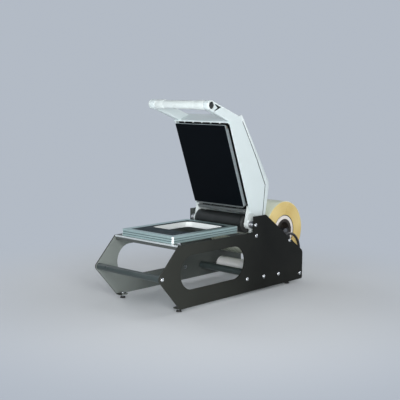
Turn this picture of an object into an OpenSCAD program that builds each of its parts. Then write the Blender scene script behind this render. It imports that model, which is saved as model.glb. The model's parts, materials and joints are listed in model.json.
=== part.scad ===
// Manual tray sealing machine: two side plates carry a tray frame, a heated lid
// that swings on stub pins, a film reel at the rear and the rollers under it.
// Millimetres, +Z up, the operator stands at -Y, +X is to the operator's right.
// The origin is on the floor, under the middle of the length and the width.

/* [Side plates] */
// Width over the two side plates
base_w = 264; // [244:1:300]
// Thickness of a side plate
plate_t = 4; // [3:0.5:5]
// Height of the plates above the floor
plate_lift = 10; // [9:0.5:14]
// Height of the plates' long top edge
plate_top_z = 191; // [185:1:200]
// Rise of the hinge cheeks above that edge
cheek_rise = 48; // [44:1:54]
// Length of a cheek's level top
cheek_len = 59.5; // [52:0.5:66]
// Place of the nose at the front
nose_y = -322; // [-330:1:-310]
// Height of the nose
nose_z = 106; // [100:1:112]
// Radius of the nose
nose_r = 11.5; // [10.5:0.5:14]
// Place of the top edge's front corner
top_front_y = -257; // [-262:1:-254]
// Place of the bottom edge's front corner
low_front_y = -250.5; // [-256:0.5:-246]
// Length of the plates behind the hinge
rear_len = 247; // [245:1:255]
// Radius of the shoulder above the rear edge
shoulder_r = 18; // [12:1:22]
// Height of the shoulder's centre
shoulder_z = 93; // [88:1:98]
// Height of the side windows' middle
window_z = 109.3; // [106:0.1:112]
// Radius of the windows' round ends
window_r = 49.2; // [44:0.1:50]
// Place of the window's front end centre
window_front_y = -201; // [-204:1:-190]
// Distance of the window's rear end centre before the hinge
window_back = 99; // [93:1:107]

/* [Feet and screws] */
// Radius of a rubber foot
foot_r = 8; // [7:0.5:9]
// Height of a rubber foot
foot_h = 5; // [4:0.5:6]
// Place of the front feet
foot_front_y = -240; // [-242:1:-230]
// Distance of the rear feet before the plates' rear edge
foot_fore = 62; // [30:1:74]
// Radius of the screw shanks
screw_r = 3; // [2.5:0.25:3.5]
// Radius of the domed heads
head_r = 6; // [5.5:0.25:6.5]
// Height of the domed heads
head_h = 3.5; // [3:0.25:4]

/* [Cross members] */
// Radius of the tube between the noses
nose_tube_r = 9.5; // [8:0.5:10]
// Radius of the lower cross tube
low_tube_r = 11; // [9:0.5:13]
// Distance of the lower cross tube behind the hinge
low_tube_back = 44; // [39:1:49]
// Height of the lower cross tube
low_tube_z = 47; // [44:1:50]
// Radius of the rear cross tube
rear_tube_r = 8; // [7:0.5:9]
// Distance of the rear cross tube before the plates' rear edge
rear_tube_fore = 14; // [12:1:18]
// Height of the rear cross tube
rear_tube_z = 29; // [26:1:32]
// Depth of a top rail
rail_d = 16; // [14:1:20]
// Height of a top rail
rail_h = 14; // [12:1:16]
// Thickness of the rail sheet
rail_t = 2.5; // [2:0.5:3]

/* [Tray station] */
// Length of the tray frame
frame_l = 281; // [250:1:310]
// Gap between the tray frame and a side plate
frame_side = 22.5; // [20:0.5:25]
// Height of the tray frame
frame_h = 20; // [18:0.5:24]
// Corner radius of the tray frame
frame_r = 7; // [5:0.5:9]
// Width of the frame's sides beside the mould
frame_side_rim = 21; // [19:0.5:23]
// Width of the frame's ends at the mould
frame_end_rim = 20; // [18:0.5:22]
// Thickness of the mould insert's plate
mould_t = 10; // [8:0.5:12]
// Width of the frame's ledge under the mould
ledge = 4; // [3:0.5:5]
// Width of the mould's plate beside the tray opening
tray_side_rim = 10; // [9.5:0.5:30]
// Length of the mould's plate before the tray opening
tray_front_rim = 72; // [15:1:80]
// Length of the mould's plate behind the tray opening
tray_rear_rim = 9.5; // [9.5:0.5:40]
// Corner radius of the tray opening
tray_r = 20; // [15:1:30]
// Depth of the mould's wall
mould_depth = 16; // [14:1:40]
// Thickness of the mould's wall
mould_wall = 4; // [3:0.5:4.5]
// Thickness of the sealing rubber
gasket_t = 2; // [1.5:0.25:3]

/* [Lid] */
// Opening angle of the lid
lid_open = 69.5; // [60:0.5:72]
// Gap between the lid and a side plate
lid_side_gap = 16; // [15:0.5:18]
// Thickness of the lid's wall
lid_wall = 3; // [2.5:0.25:4]
// Radius of the lid's long edges
lid_edge_r = 30; // [22:1:34]
// Height of the lid at its brow, above the rim
brow_h = 82; // [76:1:88]
// Height of the lid at its peak, above the rim
peak_h = 134; // [126:1:140]
// Distance from the hinge to the peak
peak_back = 75; // [68:1:84]
// Height of the lid at its heel, above the rim
heel_h = 89; // [84:1:90]
// Length of the lid behind the hinge
heel_len = 7; // [5:1:9]
// Height of the rim above the heater's face
rim_rise = 12; // [9:0.5:14]
// Height of the liner above the heater's face
liner_rise = 26; // [25:0.5:28]
// Thickness of the liner
liner_t = 2; // [1.5:0.5:2.5]

/* [Heater] */
// Gap between the heater and the outside of the lid
heater_side = 12; // [10:0.5:15]
// Distance of the heater's ends inside the tray frame's ends
heater_end = 9; // [8:0.5:13]
// Thickness of the heater plate
heater_t = 12; // [10:0.5:13]
// Thickness of the heater's coating sheet
coat_t = 1; // [0.5:0.25:1.5]
// Thickness of the insulating board
board_t = 6; // [5:0.5:7]
// Thickness of the cross knife's bar
knife_t = 5; // [4:0.5:6]
// Depth of the film clamp bar
clamp_d = 9; // [8:0.5:10]

/* [Handle] */
// Radius of the grip tube
grip_r = 13; // [11:0.5:14]
// Thickness of the grip tube's wall
grip_wall = 2.5; // [2:0.25:4]
// Radius of the sleeves and of the arms' eyes
sleeve_r = 14.5; // [14:0.25:16]
// Length of a sleeve
sleeve_l = 32; // [24:1:40]
// Width of an arm
arm_w = 22; // [18:1:26]
// Reach of the handle's ends beyond the lid's sides
grip_over = 7; // [4:0.5:8]
// Forward reach of the handle from the lid's front
grip_reach = 76; // [72:1:84]
// Drop of the handle below the rim
grip_drop = 65; // [60:1:68]

/* [Hinge] */
// Radius of the stub pins
pin_r = 6; // [5:0.25:6.5]
// Distance of the hinge behind the tray frame
hinge_gap = 50.5; // [48:0.5:56]
// Distance of the hinge behind the cheeks' front edge
hinge_back = 8.5; // [8:0.5:12]
// Radius of a lug's eye
eye_r = 14; // [13:0.5:16]
// Width of a lug
lug_w = 12; // [10:0.5:14]
// Radius of the film guide tube round the hinge line
guide_r = 28; // [26:0.5:29]
// Wall of the film guide tube
guide_wall = 2.5; // [2:0.25:4]
// Radius of the stop pins
stop_r = 5; // [4.5:0.25:6]
// Distance of the stop pins below the hinge
stop_drop = 33.3; // [32:0.1:35]
// Wire radius of the lid springs
wire_r = 1.1; // [0.9:0.1:1.2]
// Turns of a lid spring
spring_turns = 4; // [2:0.5:4]

/* [Film reel] */
// Radius of the full film roll
roll_r = 94.5; // [80:0.5:96]
// Gap between the film and a reel bracket
film_gap = 4; // [3:0.5:12]
// Outer radius of the core
core_r = 48; // [46:0.5:52]
// Inner radius of the core
core_bore_r = 38; // [36:0.5:40]
// Bore radius of the hubs' open ends
hub_bore_r = 28; // [26:0.5:30]
// Length of a hub
hub_l = 30; // [24:1:36]
// Radius of the reel shaft
shaft_r = 8; // [7:0.25:9]
// Distance of the reel's axis behind the hinge
reel_back = 162; // [160:0.5:166]
// Height of the reel's axis
reel_z = 175; // [172:0.5:178]
// Thickness of a reel bracket
bracket_t = 3.5; // [3:0.25:4]
// Radius of the bow beside the reel
bow_r = 60; // [56:1:62]
// Radius of the bow's rod
bow_rod_r = 4; // [3.5:0.25:4.5]
// Radius of the film guide roller
roller_r = 24.5; // [22:0.5:26]
// Distance of the guide roller behind the hinge
roller_back = 119; // [115:1:123]
// Height of the guide roller
roller_z = 44; // [42:1:48]

/* [Controls] */
// Length of the control panel
panel_l = 110; // [100:1:120]
// Width of the control panel
panel_w = 44; // [40:1:50]
// Thickness of the control panel
panel_t = 3; // [2:0.5:4]
// Radius of the thermostat knob
knob_r = 17; // [14:0.5:19]
// Height of the thermostat knob
knob_h = 14; // [12:0.5:18]

/* [Hidden] */
$fn = 64;

// Clearances
screw_clear = 0.1;
fit_clear = 0.05;
loose_clear = 0.3;
seal_gap = 0.5;
end_play = 0.6;

// Stations shared by the base
out_x = base_w / 2;
in_x = out_x - plate_t;
cheek_top_z = plate_top_z + cheek_rise;
rail_top_z = plate_top_z + 0.5;
frame_top_z = rail_top_z + frame_h;
heat_z = frame_top_z + seal_gap;
hinge_z = heat_z;
frame_front_y = top_front_y + rail_t;
frame_y = frame_front_y + frame_l / 2;
frame_w = 2 * (in_x - frame_side);
mould_w = frame_w - 2 * frame_side_rim;
mould_l = frame_l - 2 * frame_end_rim;
tray_w = mould_w - 2 * tray_side_rim;
tray_l = mould_l - tray_front_rim - tray_rear_rim;
tray_shift = (tray_front_rim - tray_rear_rim) / 2;
hinge_y = frame_front_y + frame_l + hinge_gap;
cheek_y = hinge_y - hinge_back;
rear_y = hinge_y + rear_len;
window_rear_y = hinge_y - window_back;
foot_rear_y = rear_y - foot_fore;
reel_y = hinge_y + reel_back;
nose = [nose_y, nose_z];
top_front = [top_front_y, plate_top_z];
low_front = [low_front_y, plate_lift];
cheek_rear = [cheek_y + cheek_len, cheek_top_z];
shoulder = [rear_y - shoulder_r, shoulder_z];
rear_corner_r = 6;
stop_back = 4;
stop_pos = [hinge_y + stop_back, hinge_z - stop_drop];
bracket_back = 12;
bracket_drop = 30.5;
bracket_pos = [reel_y + bracket_back, reel_z - bracket_drop];
bracket_gap = 6;
bracket_x = in_x - bracket_gap;
film_w = 2 * (bracket_x - film_gap);
bow_back = 7;
bow_drop = 68;
spare_fore = 37;
spare_z = 51;
spare_pos = [hinge_y - spare_fore, spare_z];
low_tube_pos = [hinge_y + low_tube_back, low_tube_z];
roller_pos = [hinge_y + roller_back, roller_z];
rear_tube_pos = [rear_y - rear_tube_fore, rear_tube_z];
hinge_pos = [hinge_y, hinge_z];
reel_pos = [reel_y, reel_z];
through_screws = [nose, hinge_pos, stop_pos, low_tube_pos, roller_pos, rear_tube_pos];
plate_screws = concat(through_screws, [bracket_pos, spare_pos]);
screw_grip = 12;
tab_l = 24;
tab_w = 22;
foot_in = 12;
foot_x = in_x - foot_in;
nut_r = 6.5;
nut_h = 5;
window_l = window_rear_y - window_front_y;

// Stations shared by the lid, with the lid shut
lid_half = in_x - lid_side_gap;
lid_in = lid_half - lid_wall;
rim_z = heat_z + rim_rise;
heater_w = 2 * (lid_half - heater_side);
heater_l = frame_l - 2 * heater_end;
heater_front_y = frame_y - heater_l / 2;
heater_rear_y = frame_y + heater_l / 2;
lid_lip = 7.5;
lid_front_y = heater_front_y - lid_lip;
lid_rear_y = hinge_y + heel_len;
brow_len = 20;
brow = [lid_front_y + brow_len, rim_z + brow_h];
peak = [hinge_y - peak_back, rim_z + peak_h];
heel_fore = 2;
heel = [hinge_y - heel_fore, rim_z + heel_h];
brow_drop = 34;
heel_drop = 38;
peak_soft = 40;
liner_z = heat_z + liner_rise;
plate_z = heat_z + coat_t;
board_z = plate_z + heater_t;
knife_gap = 1;
knife_y = heater_rear_y + knife_gap;
clamp_gap = 7;
clamp_y = knife_y + knife_t + clamp_gap;
clamp_rise = 2.5;
clamp_h = 5;
swing_gap = 5;
hinge_swing_r = guide_r + swing_gap;
lug_out = lid_in;
lug_x = lug_out - lug_w;
lug_reach = 52;
lug_rise = 38;
guide_gap = 3;
guide_half = lug_x - guide_gap;
grip_pos = [lid_front_y - grip_reach, rim_z - grip_drop];
grip_half = lid_half + grip_over;
panel_slope = atan((peak.y - brow.y) / (peak.x - brow.x));
panel_back = 20;
panel_y = (brow.x + peak.x) / 2 + panel_back;
knob_x = -32;
switch_x = 30;
lamp_x = 2;
bezel_h = 5;
rocker_pivot = panel_t + 2.5;

// Points on an arc, from angle a0 to a1
function arc(c, r, a0, a1, n = 8) =
  [for (i = [0:n]) c + r * [cos(a0 + (a1 - a0) * i / n), sin(a0 + (a1 - a0) * i / n)]];

// Angle of the point where a line from p touches a circle
function tangent(p, c, r, side) = atan2(p.y - c.y, p.x - c.x) + side * acos(r / norm(p - c));

// Point on a three-point curve
function curve(p, q, s, t) = (1 - t) * (1 - t) * p + 2 * t * (1 - t) * q + t * t * s;

// Point on the way from p to q, at a distance from p
function along(p, q, d) = p + (q - p) * d / norm(q - p);

// Height of the lid's front slope
function slope_z(y) = brow.y + (peak.y - brow.y) * (y - brow.x) / (peak.x - brow.x);

plate_outline = concat(
  [low_front],
  arc([rear_y - rear_corner_r, plate_lift + rear_corner_r], rear_corner_r, -90, 0),
  arc(shoulder, shoulder_r, 0, tangent(cheek_rear, shoulder, shoulder_r, -1)),
  [cheek_rear, [cheek_y, cheek_top_z], [cheek_y, plate_top_z], top_front],
  arc(nose, nose_r, tangent(top_front, nose, nose_r, 1), 360 + tangent(low_front, nose, nose_r, -1))
);

// The lid's top line from front to rear, with soft corners
lid_line = concat(
  [for (a = [0:22.5:67.5]) [brow.x - brow_len * cos(a), brow.y - brow_drop * (1 - sin(a))]],
  [brow],
  [for (t = [0:0.25:1]) curve(along(peak, brow, peak_soft), peak, along(peak, heel, peak_soft), t)],
  [for (a = [90:-22.5:0])
    [heel.x + (lid_rear_y - heel.x) * cos(a), heel.y - heel_drop * (1 - sin(a))]]
);

// One arched section of the lid, inset by the wall
function lid_ring(p, inset, low) = let (w = lid_half - inset, r = lid_edge_r - inset, top = p.y - inset)
  concat(
    [[w, p.x, low]],
    [for (a = [0:15:90]) [w - r + r * cos(a), p.x, top - r + r * sin(a)]],
    [for (a = [90:15:180]) [-w + r + r * cos(a), p.x, top - r + r * sin(a)]],
    [[-w, p.x, low]]);

// A closed skin over rings of equal length
module loft(rings) {
  n = len(rings[0]);
  last = len(rings) - 1;
  sides = [for (k = [0:last - 1], i = [0:n - 1]) let (j = (i + 1) % n)
    each [[k * n + i, k * n + j, (k + 1) * n + i], [k * n + j, (k + 1) * n + j, (k + 1) * n + i]]];
  ends = [[for (i = [n - 1:-1:0]) i], [for (i = [0:n - 1]) last * n + i]];
  polyhedron([for (ring = rings) each ring], concat(sides, ends), convexity = 6);
}

// Extrudes an outline of the Y-Z plane from x0 to x1
module slab(x0, x1) {
  translate([x0, 0, 0]) rotate([90, 0, 90]) linear_extrude(x1 - x0) children();
}

// A cylinder along X from x0 to x1
module bar(pos, r, x0, x1) {
  translate([x0, pos.x, pos.y]) rotate([0, 90, 0]) cylinder(r = r, h = x1 - x0);
}

module both_sides() {
  children();
  mirror([1, 0, 0]) children();
}

// A rectangle with round corners
module round_rect(w, l, r) {
  square([w - 2 * r, l], center = true);
  square([w, l - 2 * r], center = true);
  for (sx = [-1, 1], sy = [-1, 1]) translate([sx * (w / 2 - r), sy * (l / 2 - r)]) circle(r);
}

// Swings children that are drawn with the lid shut to the open lid
module lid_pose(angle = -lid_open) {
  translate([0, hinge_y, hinge_z]) rotate([angle, 0, 0]) translate([0, -hinge_y, -hinge_z]) children();
}

// Places children on the lid's sloping top
module panel_pose() {
  lid_pose() translate([0, panel_y, slope_z(panel_y)]) rotate([panel_slope, 0, 0]) children();
}

// Side plates
module plate_shape() {
  difference() {
    polygon(plate_outline);
    translate([window_front_y, window_z - window_r]) square([window_l, 2 * window_r]);
    for (y = [window_front_y, window_rear_y]) translate([y, window_z]) circle(window_r);
    for (p = plate_screws) translate(p) circle(screw_r + screw_clear);
  }
}

module side_plate() {
  color("#41443f") difference() {
    union() {
      slab(in_x, out_x) plate_shape();
      for (y = [foot_front_y, foot_rear_y])
        translate([in_x - tab_w, y - tab_l / 2, plate_lift]) cube([tab_w + plate_t / 2, tab_l, plate_t]);
    }
    for (y = [foot_front_y, foot_rear_y])
      translate([foot_x, y, plate_lift - 1]) cylinder(r = screw_r + screw_clear, h = plate_t + 2);
  }
}

module side_plate_right() {
  side_plate();
}

module side_plate_left() {
  mirror([1, 0, 0]) side_plate();
}

// Bent rails that carry the tray frame
module rail_shape() {
  translate([0, rail_top_z - rail_t]) square([rail_d, rail_t]);
  translate([0, rail_top_z - rail_h]) square([rail_t, rail_h]);
}

module front_top_rail() {
  color("#4a4d48") slab(-in_x, in_x) translate([top_front_y, 0]) rail_shape();
}

module rear_top_rail() {
  color("#4a4d48") slab(-in_x, in_x)
    translate([frame_front_y + frame_l, 0]) mirror([1, 0]) rail_shape();
}

module rail_trim() {
  color("#d9dedb") slab(-in_x, in_x)
    translate([top_front_y - rail_t, rail_top_z - 2 * rail_t]) square([rail_t, 2 * rail_t]);
}

// Cross tubes with a threaded bore at each end
module cross_tube(pos, r) {
  difference() {
    bar(pos, r, -in_x, in_x);
    both_sides() bar(pos, screw_r + screw_clear, in_x - screw_grip - 2, in_x + 1);
  }
}

module nose_tube() {
  color("#5a5e5a") cross_tube(nose, nose_tube_r);
}

module lower_cross_tube() {
  color("#3c3d3b") cross_tube(low_tube_pos, low_tube_r);
}

module rear_cross_tube() {
  color("#3c3d3b") cross_tube(rear_tube_pos, rear_tube_r);
}

// Grooved tray frame with a ledge for the mould
module tray_frame() {
  groove_d = 1.2;
  groove_h = 1.6;
  color("#a9c0c0") translate([0, frame_y, rail_top_z]) difference() {
    linear_extrude(frame_h) round_rect(frame_w, frame_l, frame_r);
    translate([0, 0, frame_h - mould_t - gasket_t])
      linear_extrude(frame_h) square([mould_w + 2 * loose_clear, mould_l + 2 * loose_clear], center = true);
    translate([0, 0, -1]) linear_extrude(frame_h) square([mould_w - 2 * ledge, mould_l - 2 * ledge], center = true);
    for (z = [frame_h * 0.3, frame_h * 0.62]) translate([0, 0, z]) linear_extrude(groove_h) difference() {
      square([frame_w + 4, frame_l + 4], center = true);
      round_rect(frame_w - 2 * groove_d, frame_l - 2 * groove_d, frame_r - groove_d);
    }
  }
}

// Mould insert: a plate with a deep wall round the tray opening
module tray_mould() {
  top_z = frame_top_z - gasket_t;
  color("#cfdcda") translate([0, frame_y, top_z]) difference() {
    union() {
      translate([0, 0, -mould_t]) linear_extrude(mould_t) square([mould_w, mould_l], center = true);
      translate([0, tray_shift, -mould_depth]) linear_extrude(mould_depth)
        round_rect(tray_w + 2 * mould_wall, tray_l + 2 * mould_wall, tray_r + mould_wall);
    }
    translate([0, tray_shift, -mould_depth - 1]) linear_extrude(mould_depth + 2) round_rect(tray_w, tray_l, tray_r);
  }
}

module mould_gasket() {
  gasket_rim = 3;
  color("#1a1c1e") translate([0, frame_y, frame_top_z - gasket_t]) linear_extrude(gasket_t) difference() {
    square([mould_w, mould_l], center = true);
    translate([0, tray_shift])
      round_rect(tray_w + 2 * gasket_rim, tray_l + 2 * gasket_rim, tray_r + gasket_rim);
  }
}

// Stub pins of the lid, each with a shoulder against its plate
module hinge_pins() {
  shoulder_r2 = pin_r + 3;
  color("#c9ccce") both_sides() difference() {
    union() {
      bar(hinge_pos, pin_r, guide_half - guide_cap_t, in_x);
      bar(hinge_pos, shoulder_r2, lid_half + end_play, in_x);
    }
    bar(hinge_pos, screw_r + screw_clear, in_x - screw_grip - 2, in_x + 1);
  }
}

module stop_pins() {
  color("#c9ccce") both_sides() difference() {
    bar(stop_pos, stop_r, lug_x, in_x);
    bar(stop_pos, screw_r + screw_clear, in_x - screw_grip - 2, in_x + 1);
  }
}

// Coil springs round the pins' shoulders
spring_r = pin_r + 3 + loose_clear + wire_r;
spring_pitch = 2 * wire_r + 0.7;
spring_x = lid_half + end_play + wire_r;
spring_steps = 24 * spring_turns;

function spring_point(i) = let (a = 15 * i)
  [spring_x + spring_pitch * i / 24, hinge_y + spring_r * cos(a), hinge_z + spring_r * sin(a)];

function spring_ring(i) = let (a = 15 * i)
  [for (b = [0:60:300]) spring_point(i) + wire_r * [sin(b), cos(a) * cos(b), sin(a) * cos(b)]];

spring_gap = min([for (i = [0:spring_steps - 24]) norm(spring_point(i) - spring_point(i + 24))]) - 2 * wire_r;
echo(spring_gap = spring_gap);

module lid_springs() {
  color("#8d9093") both_sides() loft([for (i = [0:spring_steps]) spring_ring(i)]);
}

// Tube round the hinge line that the film runs over
guide_cap_t = 4;

module film_guide_tube() {
  color("#5f6361") difference() {
    bar(hinge_pos, guide_r, -guide_half, guide_half);
    bar(hinge_pos, guide_r - guide_wall, -guide_half - 1, guide_half + 1);
  }
}

module guide_tube_caps() {
  color("#2c2e2d") both_sides() difference() {
    bar(hinge_pos, guide_r - guide_wall, guide_half - guide_cap_t, guide_half);
    bar(hinge_pos, pin_r + fit_clear, guide_half - guide_cap_t - 1, guide_half + 1);
  }
}

// Reel brackets with an open notch for the shaft
module bracket_shape() {
  post_r = shaft_r + 6;
  lean = atan2(bracket_pos.y - reel_pos.y, bracket_pos.x - reel_pos.x) + 90;
  difference() {
    union() {
      translate(reel_pos) circle(post_r);
      translate(bracket_pos) circle(post_r);
      polygon(concat(
        arc(reel_pos, post_r, lean, lean + 180, 1),
        arc(bracket_pos, post_r, lean + 180, lean + 360, 1)));
    }
    translate(reel_pos) circle(shaft_r + fit_clear);
    translate([reel_y - shaft_r - fit_clear, reel_z]) square([2 * (shaft_r + fit_clear), 2 * post_r]);
    translate(bracket_pos) circle(screw_r + screw_clear);
  }
}

module reel_brackets() {
  color("#1d1e1f") both_sides() {
    slab(bracket_x, bracket_x + bracket_t) bracket_shape();
    difference() {
      bar(bracket_pos, head_r + 2, bracket_x + bracket_t - 1, in_x);
      bar(bracket_pos, screw_r + screw_clear, bracket_x - 1, in_x + 1);
    }
  }
}

// Rod bow that stands on the sloping edge of the right plate, beside the reel
module reel_bow() {
  color("#151617") difference() {
    translate([out_x - plate_t / 2, reel_y + bow_back, reel_z - bow_drop]) rotate([90, 0, 90])
      rotate_extrude(angle = 118) translate([bow_r, 0]) circle(bow_rod_r);
    slab(in_x - 5, out_x + 5) polygon(plate_outline);
  }
}

// Feet, their studs and the screws
module each_foot() {
  for (sx = [-1, 1], y = [foot_front_y, foot_rear_y]) translate([sx * foot_x, y, 0]) children();
}

module rubber_feet() {
  color("#161616") each_foot() rotate_extrude() polygon([
    [0, 0], [foot_r - 1, 0], [foot_r, 1], [foot_r, foot_h - 1.5], [foot_r - 1.5, foot_h], [0, foot_h]]);
}

module foot_studs() {
  color("#cfd2d4") each_foot() {
    translate([0, 0, foot_h]) cylinder(r = screw_r, h = plate_lift + plate_t + 4 - foot_h);
    translate([0, 0, plate_lift + plate_t]) cylinder(r = screw_r + 2.5, h = 3, $fn = 6);
  }
}

module dome_screw(pos) {
  dome_r = (head_r * head_r + head_h * head_h) / (2 * head_h);
  dome_a = asin(head_r / dome_r);
  translate([out_x, pos.x, pos.y]) rotate([0, 90, 0]) {
    rotate_extrude() polygon(concat(
      [[0, 0], [head_r, 0]],
      [for (i = [1:6]) [dome_r * sin(dome_a * (1 - i / 6)), dome_r * cos(dome_a * (1 - i / 6)) - dome_r + head_h]]));
    translate([0, 0, -plate_t - screw_grip]) cylinder(r = screw_r, h = plate_t + screw_grip);
  }
}

module short_screw(pos) {
  intersection() {
    dome_screw(pos);
    bar(pos, head_r + 1, bracket_x, out_x + head_h + 1);
  }
}

module dome_screws() {
  color("#dfe2e4") both_sides() {
    for (p = through_screws) dome_screw(p);
    for (p = [bracket_pos, spare_pos]) short_screw(p);
  }
}

module inner_nuts() {
  color("#b9bcbe") both_sides() difference() {
    translate([in_x - nut_h, spare_pos.x, spare_pos.y]) rotate([0, 90, 0]) cylinder(r = nut_r, h = nut_h, $fn = 6);
    bar(spare_pos, screw_r + screw_clear, in_x - nut_h - 1, in_x + 1);
  }
}

module roller_axle() {
  color("#b4b7b9") cross_tube(roller_pos, screw_r + 2);
}

// Lid, drawn shut and swung open
module lid_shell() {
  mid_y = (lid_front_y + lid_rear_y) / 2;
  shrink = 1 - 2 * lid_wall / (lid_rear_y - lid_front_y);
  inner_line = [for (p = lid_line) [mid_y + (p.x - mid_y) * shrink, p.y]];
  color("#dfe9e8") lid_pose() difference() {
    loft([for (p = lid_line) lid_ring(p, 0, rim_z)]);
    loft([for (p = inner_line) lid_ring(p, lid_wall, rim_z - 1)]);
    bar(hinge_pos, hinge_swing_r, -lid_half - 1, lid_half + 1);
  }
}

module lug_shape() {
  polygon([
    [hinge_y - lug_reach, rim_z + 6], [hinge_y - 4, hinge_z - eye_r + 1], [hinge_y + eye_r / 2, hinge_z],
    [hinge_y - 4, rim_z + lug_rise], [hinge_y - lug_reach, rim_z + lug_rise]]);
}

// Tail that meets the stop pin when the lid is fully open
module lug_tail() {
  tail_w = 9;
  tail_y = stop_pos.x + stop_r + loose_clear;
  polygon([
    [tail_y, stop_pos.y - stop_r], [tail_y + tail_w, stop_pos.y - stop_r],
    [hinge_y + eye_r - 1, hinge_z], [hinge_y, hinge_z], [tail_y, hinge_z - eye_r / 2]]);
}

module hinge_lugs() {
  color("#e4ecea") both_sides() difference() {
    union() {
      lid_pose() slab(lug_x, lug_out) lug_shape();
      lid_pose() bar(hinge_pos, eye_r, lug_x, lid_half);
      slab(lug_x, lug_out) lug_tail();
    }
    bar(hinge_pos, pin_r + bush_t, lug_x - 1, lid_half + 1);
  }
}

bush_t = 2;

module hinge_bushes() {
  color("#b58a4a") both_sides() difference() {
    bar(hinge_pos, pin_r + bush_t, lug_x, lid_half);
    bar(hinge_pos, pin_r + fit_clear, lug_x - 1, lid_half + 1);
  }
}

// Handle
module grip_tube() {
  color("#e6eeec") lid_pose() difference() {
    bar(grip_pos, grip_r, -grip_half, grip_half);
    bar(grip_pos, grip_r - grip_wall, -grip_half - 1, grip_half + 1);
  }
}

module grip_sleeves() {
  color("#eef4f2") lid_pose() both_sides() difference() {
    bar(grip_pos, sleeve_r, grip_half - arm_w - sleeve_l, grip_half - arm_w);
    bar(grip_pos, grip_r + fit_clear, 0, grip_half);
  }
}

module grip_cap() {
  cap_h = 6;
  color("#eef4f2") lid_pose() translate([-grip_half, grip_pos.x, grip_pos.y]) rotate([0, -90, 0])
    rotate_extrude() polygon(concat([[0, 0]], [for (a = [0:15:90]) [
      sleeve_r - cap_h + cap_h * cos(a), cap_h * sin(a)]], [[0, cap_h]]));
}

// Arms that splay from the lid's front corners to the ends of the grip
root_low = [lid_front_y, rim_z + 1];
root_high = [lid_front_y, brow.y - brow_drop];
eye_low = grip_pos + sleeve_r * turn(tangent(root_low, grip_pos, sleeve_r, -1));
eye_high = grip_pos + sleeve_r * turn(tangent(root_high, grip_pos, sleeve_r, 1));
knee_l = sleeve_r + 4;
knee_low = along(eye_low, root_low, knee_l);
knee_high = along(eye_high, root_high, knee_l);

function turn(a) = [cos(a), sin(a)];

function arm_ring(out, low, high) = [
  [out - arm_w, low.x, low.y], [out, low.x, low.y], [out, high.x, high.y], [out - arm_w, high.x, high.y]];

module eye_shape() {
  difference() {
    union() {
      translate(grip_pos) circle(sleeve_r);
      polygon([knee_low, knee_high, eye_high, eye_low]);
    }
    translate(grip_pos) circle(grip_r + fit_clear);
  }
}

// Three-cornered pocket in an arm's outer face
module arm_pocket() {
  aim = (root_low + root_high) / 2 - grip_pos;
  translate(grip_pos) rotate(atan2(aim.y, aim.x))
    polygon([[sleeve_r + 3, 10], [sleeve_r + 7, -7], [sleeve_r + 24, 10.5]]);
}

module handle_arms() {
  pocket_d = 7;
  color("#e2ebe9") lid_pose() both_sides() difference() {
    union() {
      slab(grip_half - arm_w, grip_half) eye_shape();
      loft([arm_ring(grip_half, knee_low, knee_high), arm_ring(lid_half, root_low, root_high)]);
    }
    slab(grip_half - pocket_d, grip_half + 1) arm_pocket();
  }
}

// Slotted ledge along the front of the rim
module front_ledge() {
  ledge_d = lid_lip - lid_wall - loose_clear;
  ledge_t = 5;
  rib_t = 2;
  slots = 6;
  pitch = 2 * (lid_in - rib_t) / slots;
  color("#e2ebe9") lid_pose() difference() {
    translate([-lid_in, lid_front_y + lid_wall, rim_z - 1]) cube([2 * lid_in, ledge_d, ledge_t]);
    for (i = [0:slots - 1])
      translate([-lid_in + 1.5 * rib_t + pitch * i, lid_front_y + lid_wall + 0.8, rim_z - 2])
        cube([pitch - rib_t, ledge_d, ledge_t + 4]);
  }
}

module lid_liner() {
  flange_h = 10;
  liner_l = clamp_y + clamp_d + 2 - lid_front_y - lid_wall;
  liner_half = lid_in - fit_clear;
  color("#1c1e20") lid_pose() translate([0, lid_front_y + lid_wall + fit_clear, liner_z]) difference() {
    union() {
      translate([-liner_half, 0, 0]) cube([2 * liner_half, liner_l, liner_t]);
      both_sides() translate([liner_half - liner_t, 0, 0]) cube([liner_t, liner_l - 60, flange_h]);
    }
    both_sides() translate([lug_x - 1, hinge_y - lug_reach - 2 - lid_front_y - lid_wall, -1])
      cube([lug_w + 2, lug_reach, flange_h + 2]);
  }
}

// Heater
module heater_plate() {
  lip_h = 4;
  rebate = 14;
  color("#9fa6a6") lid_pose() translate([-heater_w / 2, heater_front_y, plate_z]) difference() {
    cube([heater_w, heater_l, heater_t]);
    translate([-1, -1, lip_h]) cube([heater_w + 2, rebate + 1, heater_t]);
  }
}

module heater_coating() {
  color("#10151a") lid_pose() translate([-heater_w / 2, heater_front_y, heat_z])
    cube([heater_w, heater_l, coat_t]);
}

post_r = 5;
post_x = heater_w / 2 - 22;
post_y = heater_l / 2 - 26;
element_x = 45;
element_w = 22;
element_end = 21.5;
element_l = heater_l - 2 * element_end;
bulb_r = 10;

module each_post() {
  for (sx = [-1, 1], sy = [-1, 1]) translate([sx * post_x, frame_y + sy * post_y, board_z]) children();
}

module heating_elements() {
  color("#8a6f52") lid_pose() both_sides()
    translate([element_x - element_w / 2, frame_y - element_l / 2, board_z]) cube([element_w, element_l, board_t - 1]);
}

module insulating_board() {
  edge = 8;
  color("#d8d3c4") lid_pose() difference() {
    translate([-heater_w / 2 + edge, heater_front_y + edge, board_z])
      cube([heater_w - 2 * edge, heater_l - 2 * edge, board_t]);
    both_sides() translate([element_x - element_w / 2 - 0.5, frame_y - element_l / 2 - 0.5, board_z - 1])
      cube([element_w + 1, element_l + 1, board_t]);
    each_post() translate([0, 0, -1]) cylinder(r = post_r + 0.4, h = board_t + 2);
    translate([0, frame_y, board_z - 1]) cylinder(r = bulb_r + 0.4, h = board_t + 2);
  }
}

module thermostat_bulb() {
  color("#c7cacb") lid_pose() translate([0, frame_y, board_z]) cylinder(r = bulb_r, h = board_t + 3);
}

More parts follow.
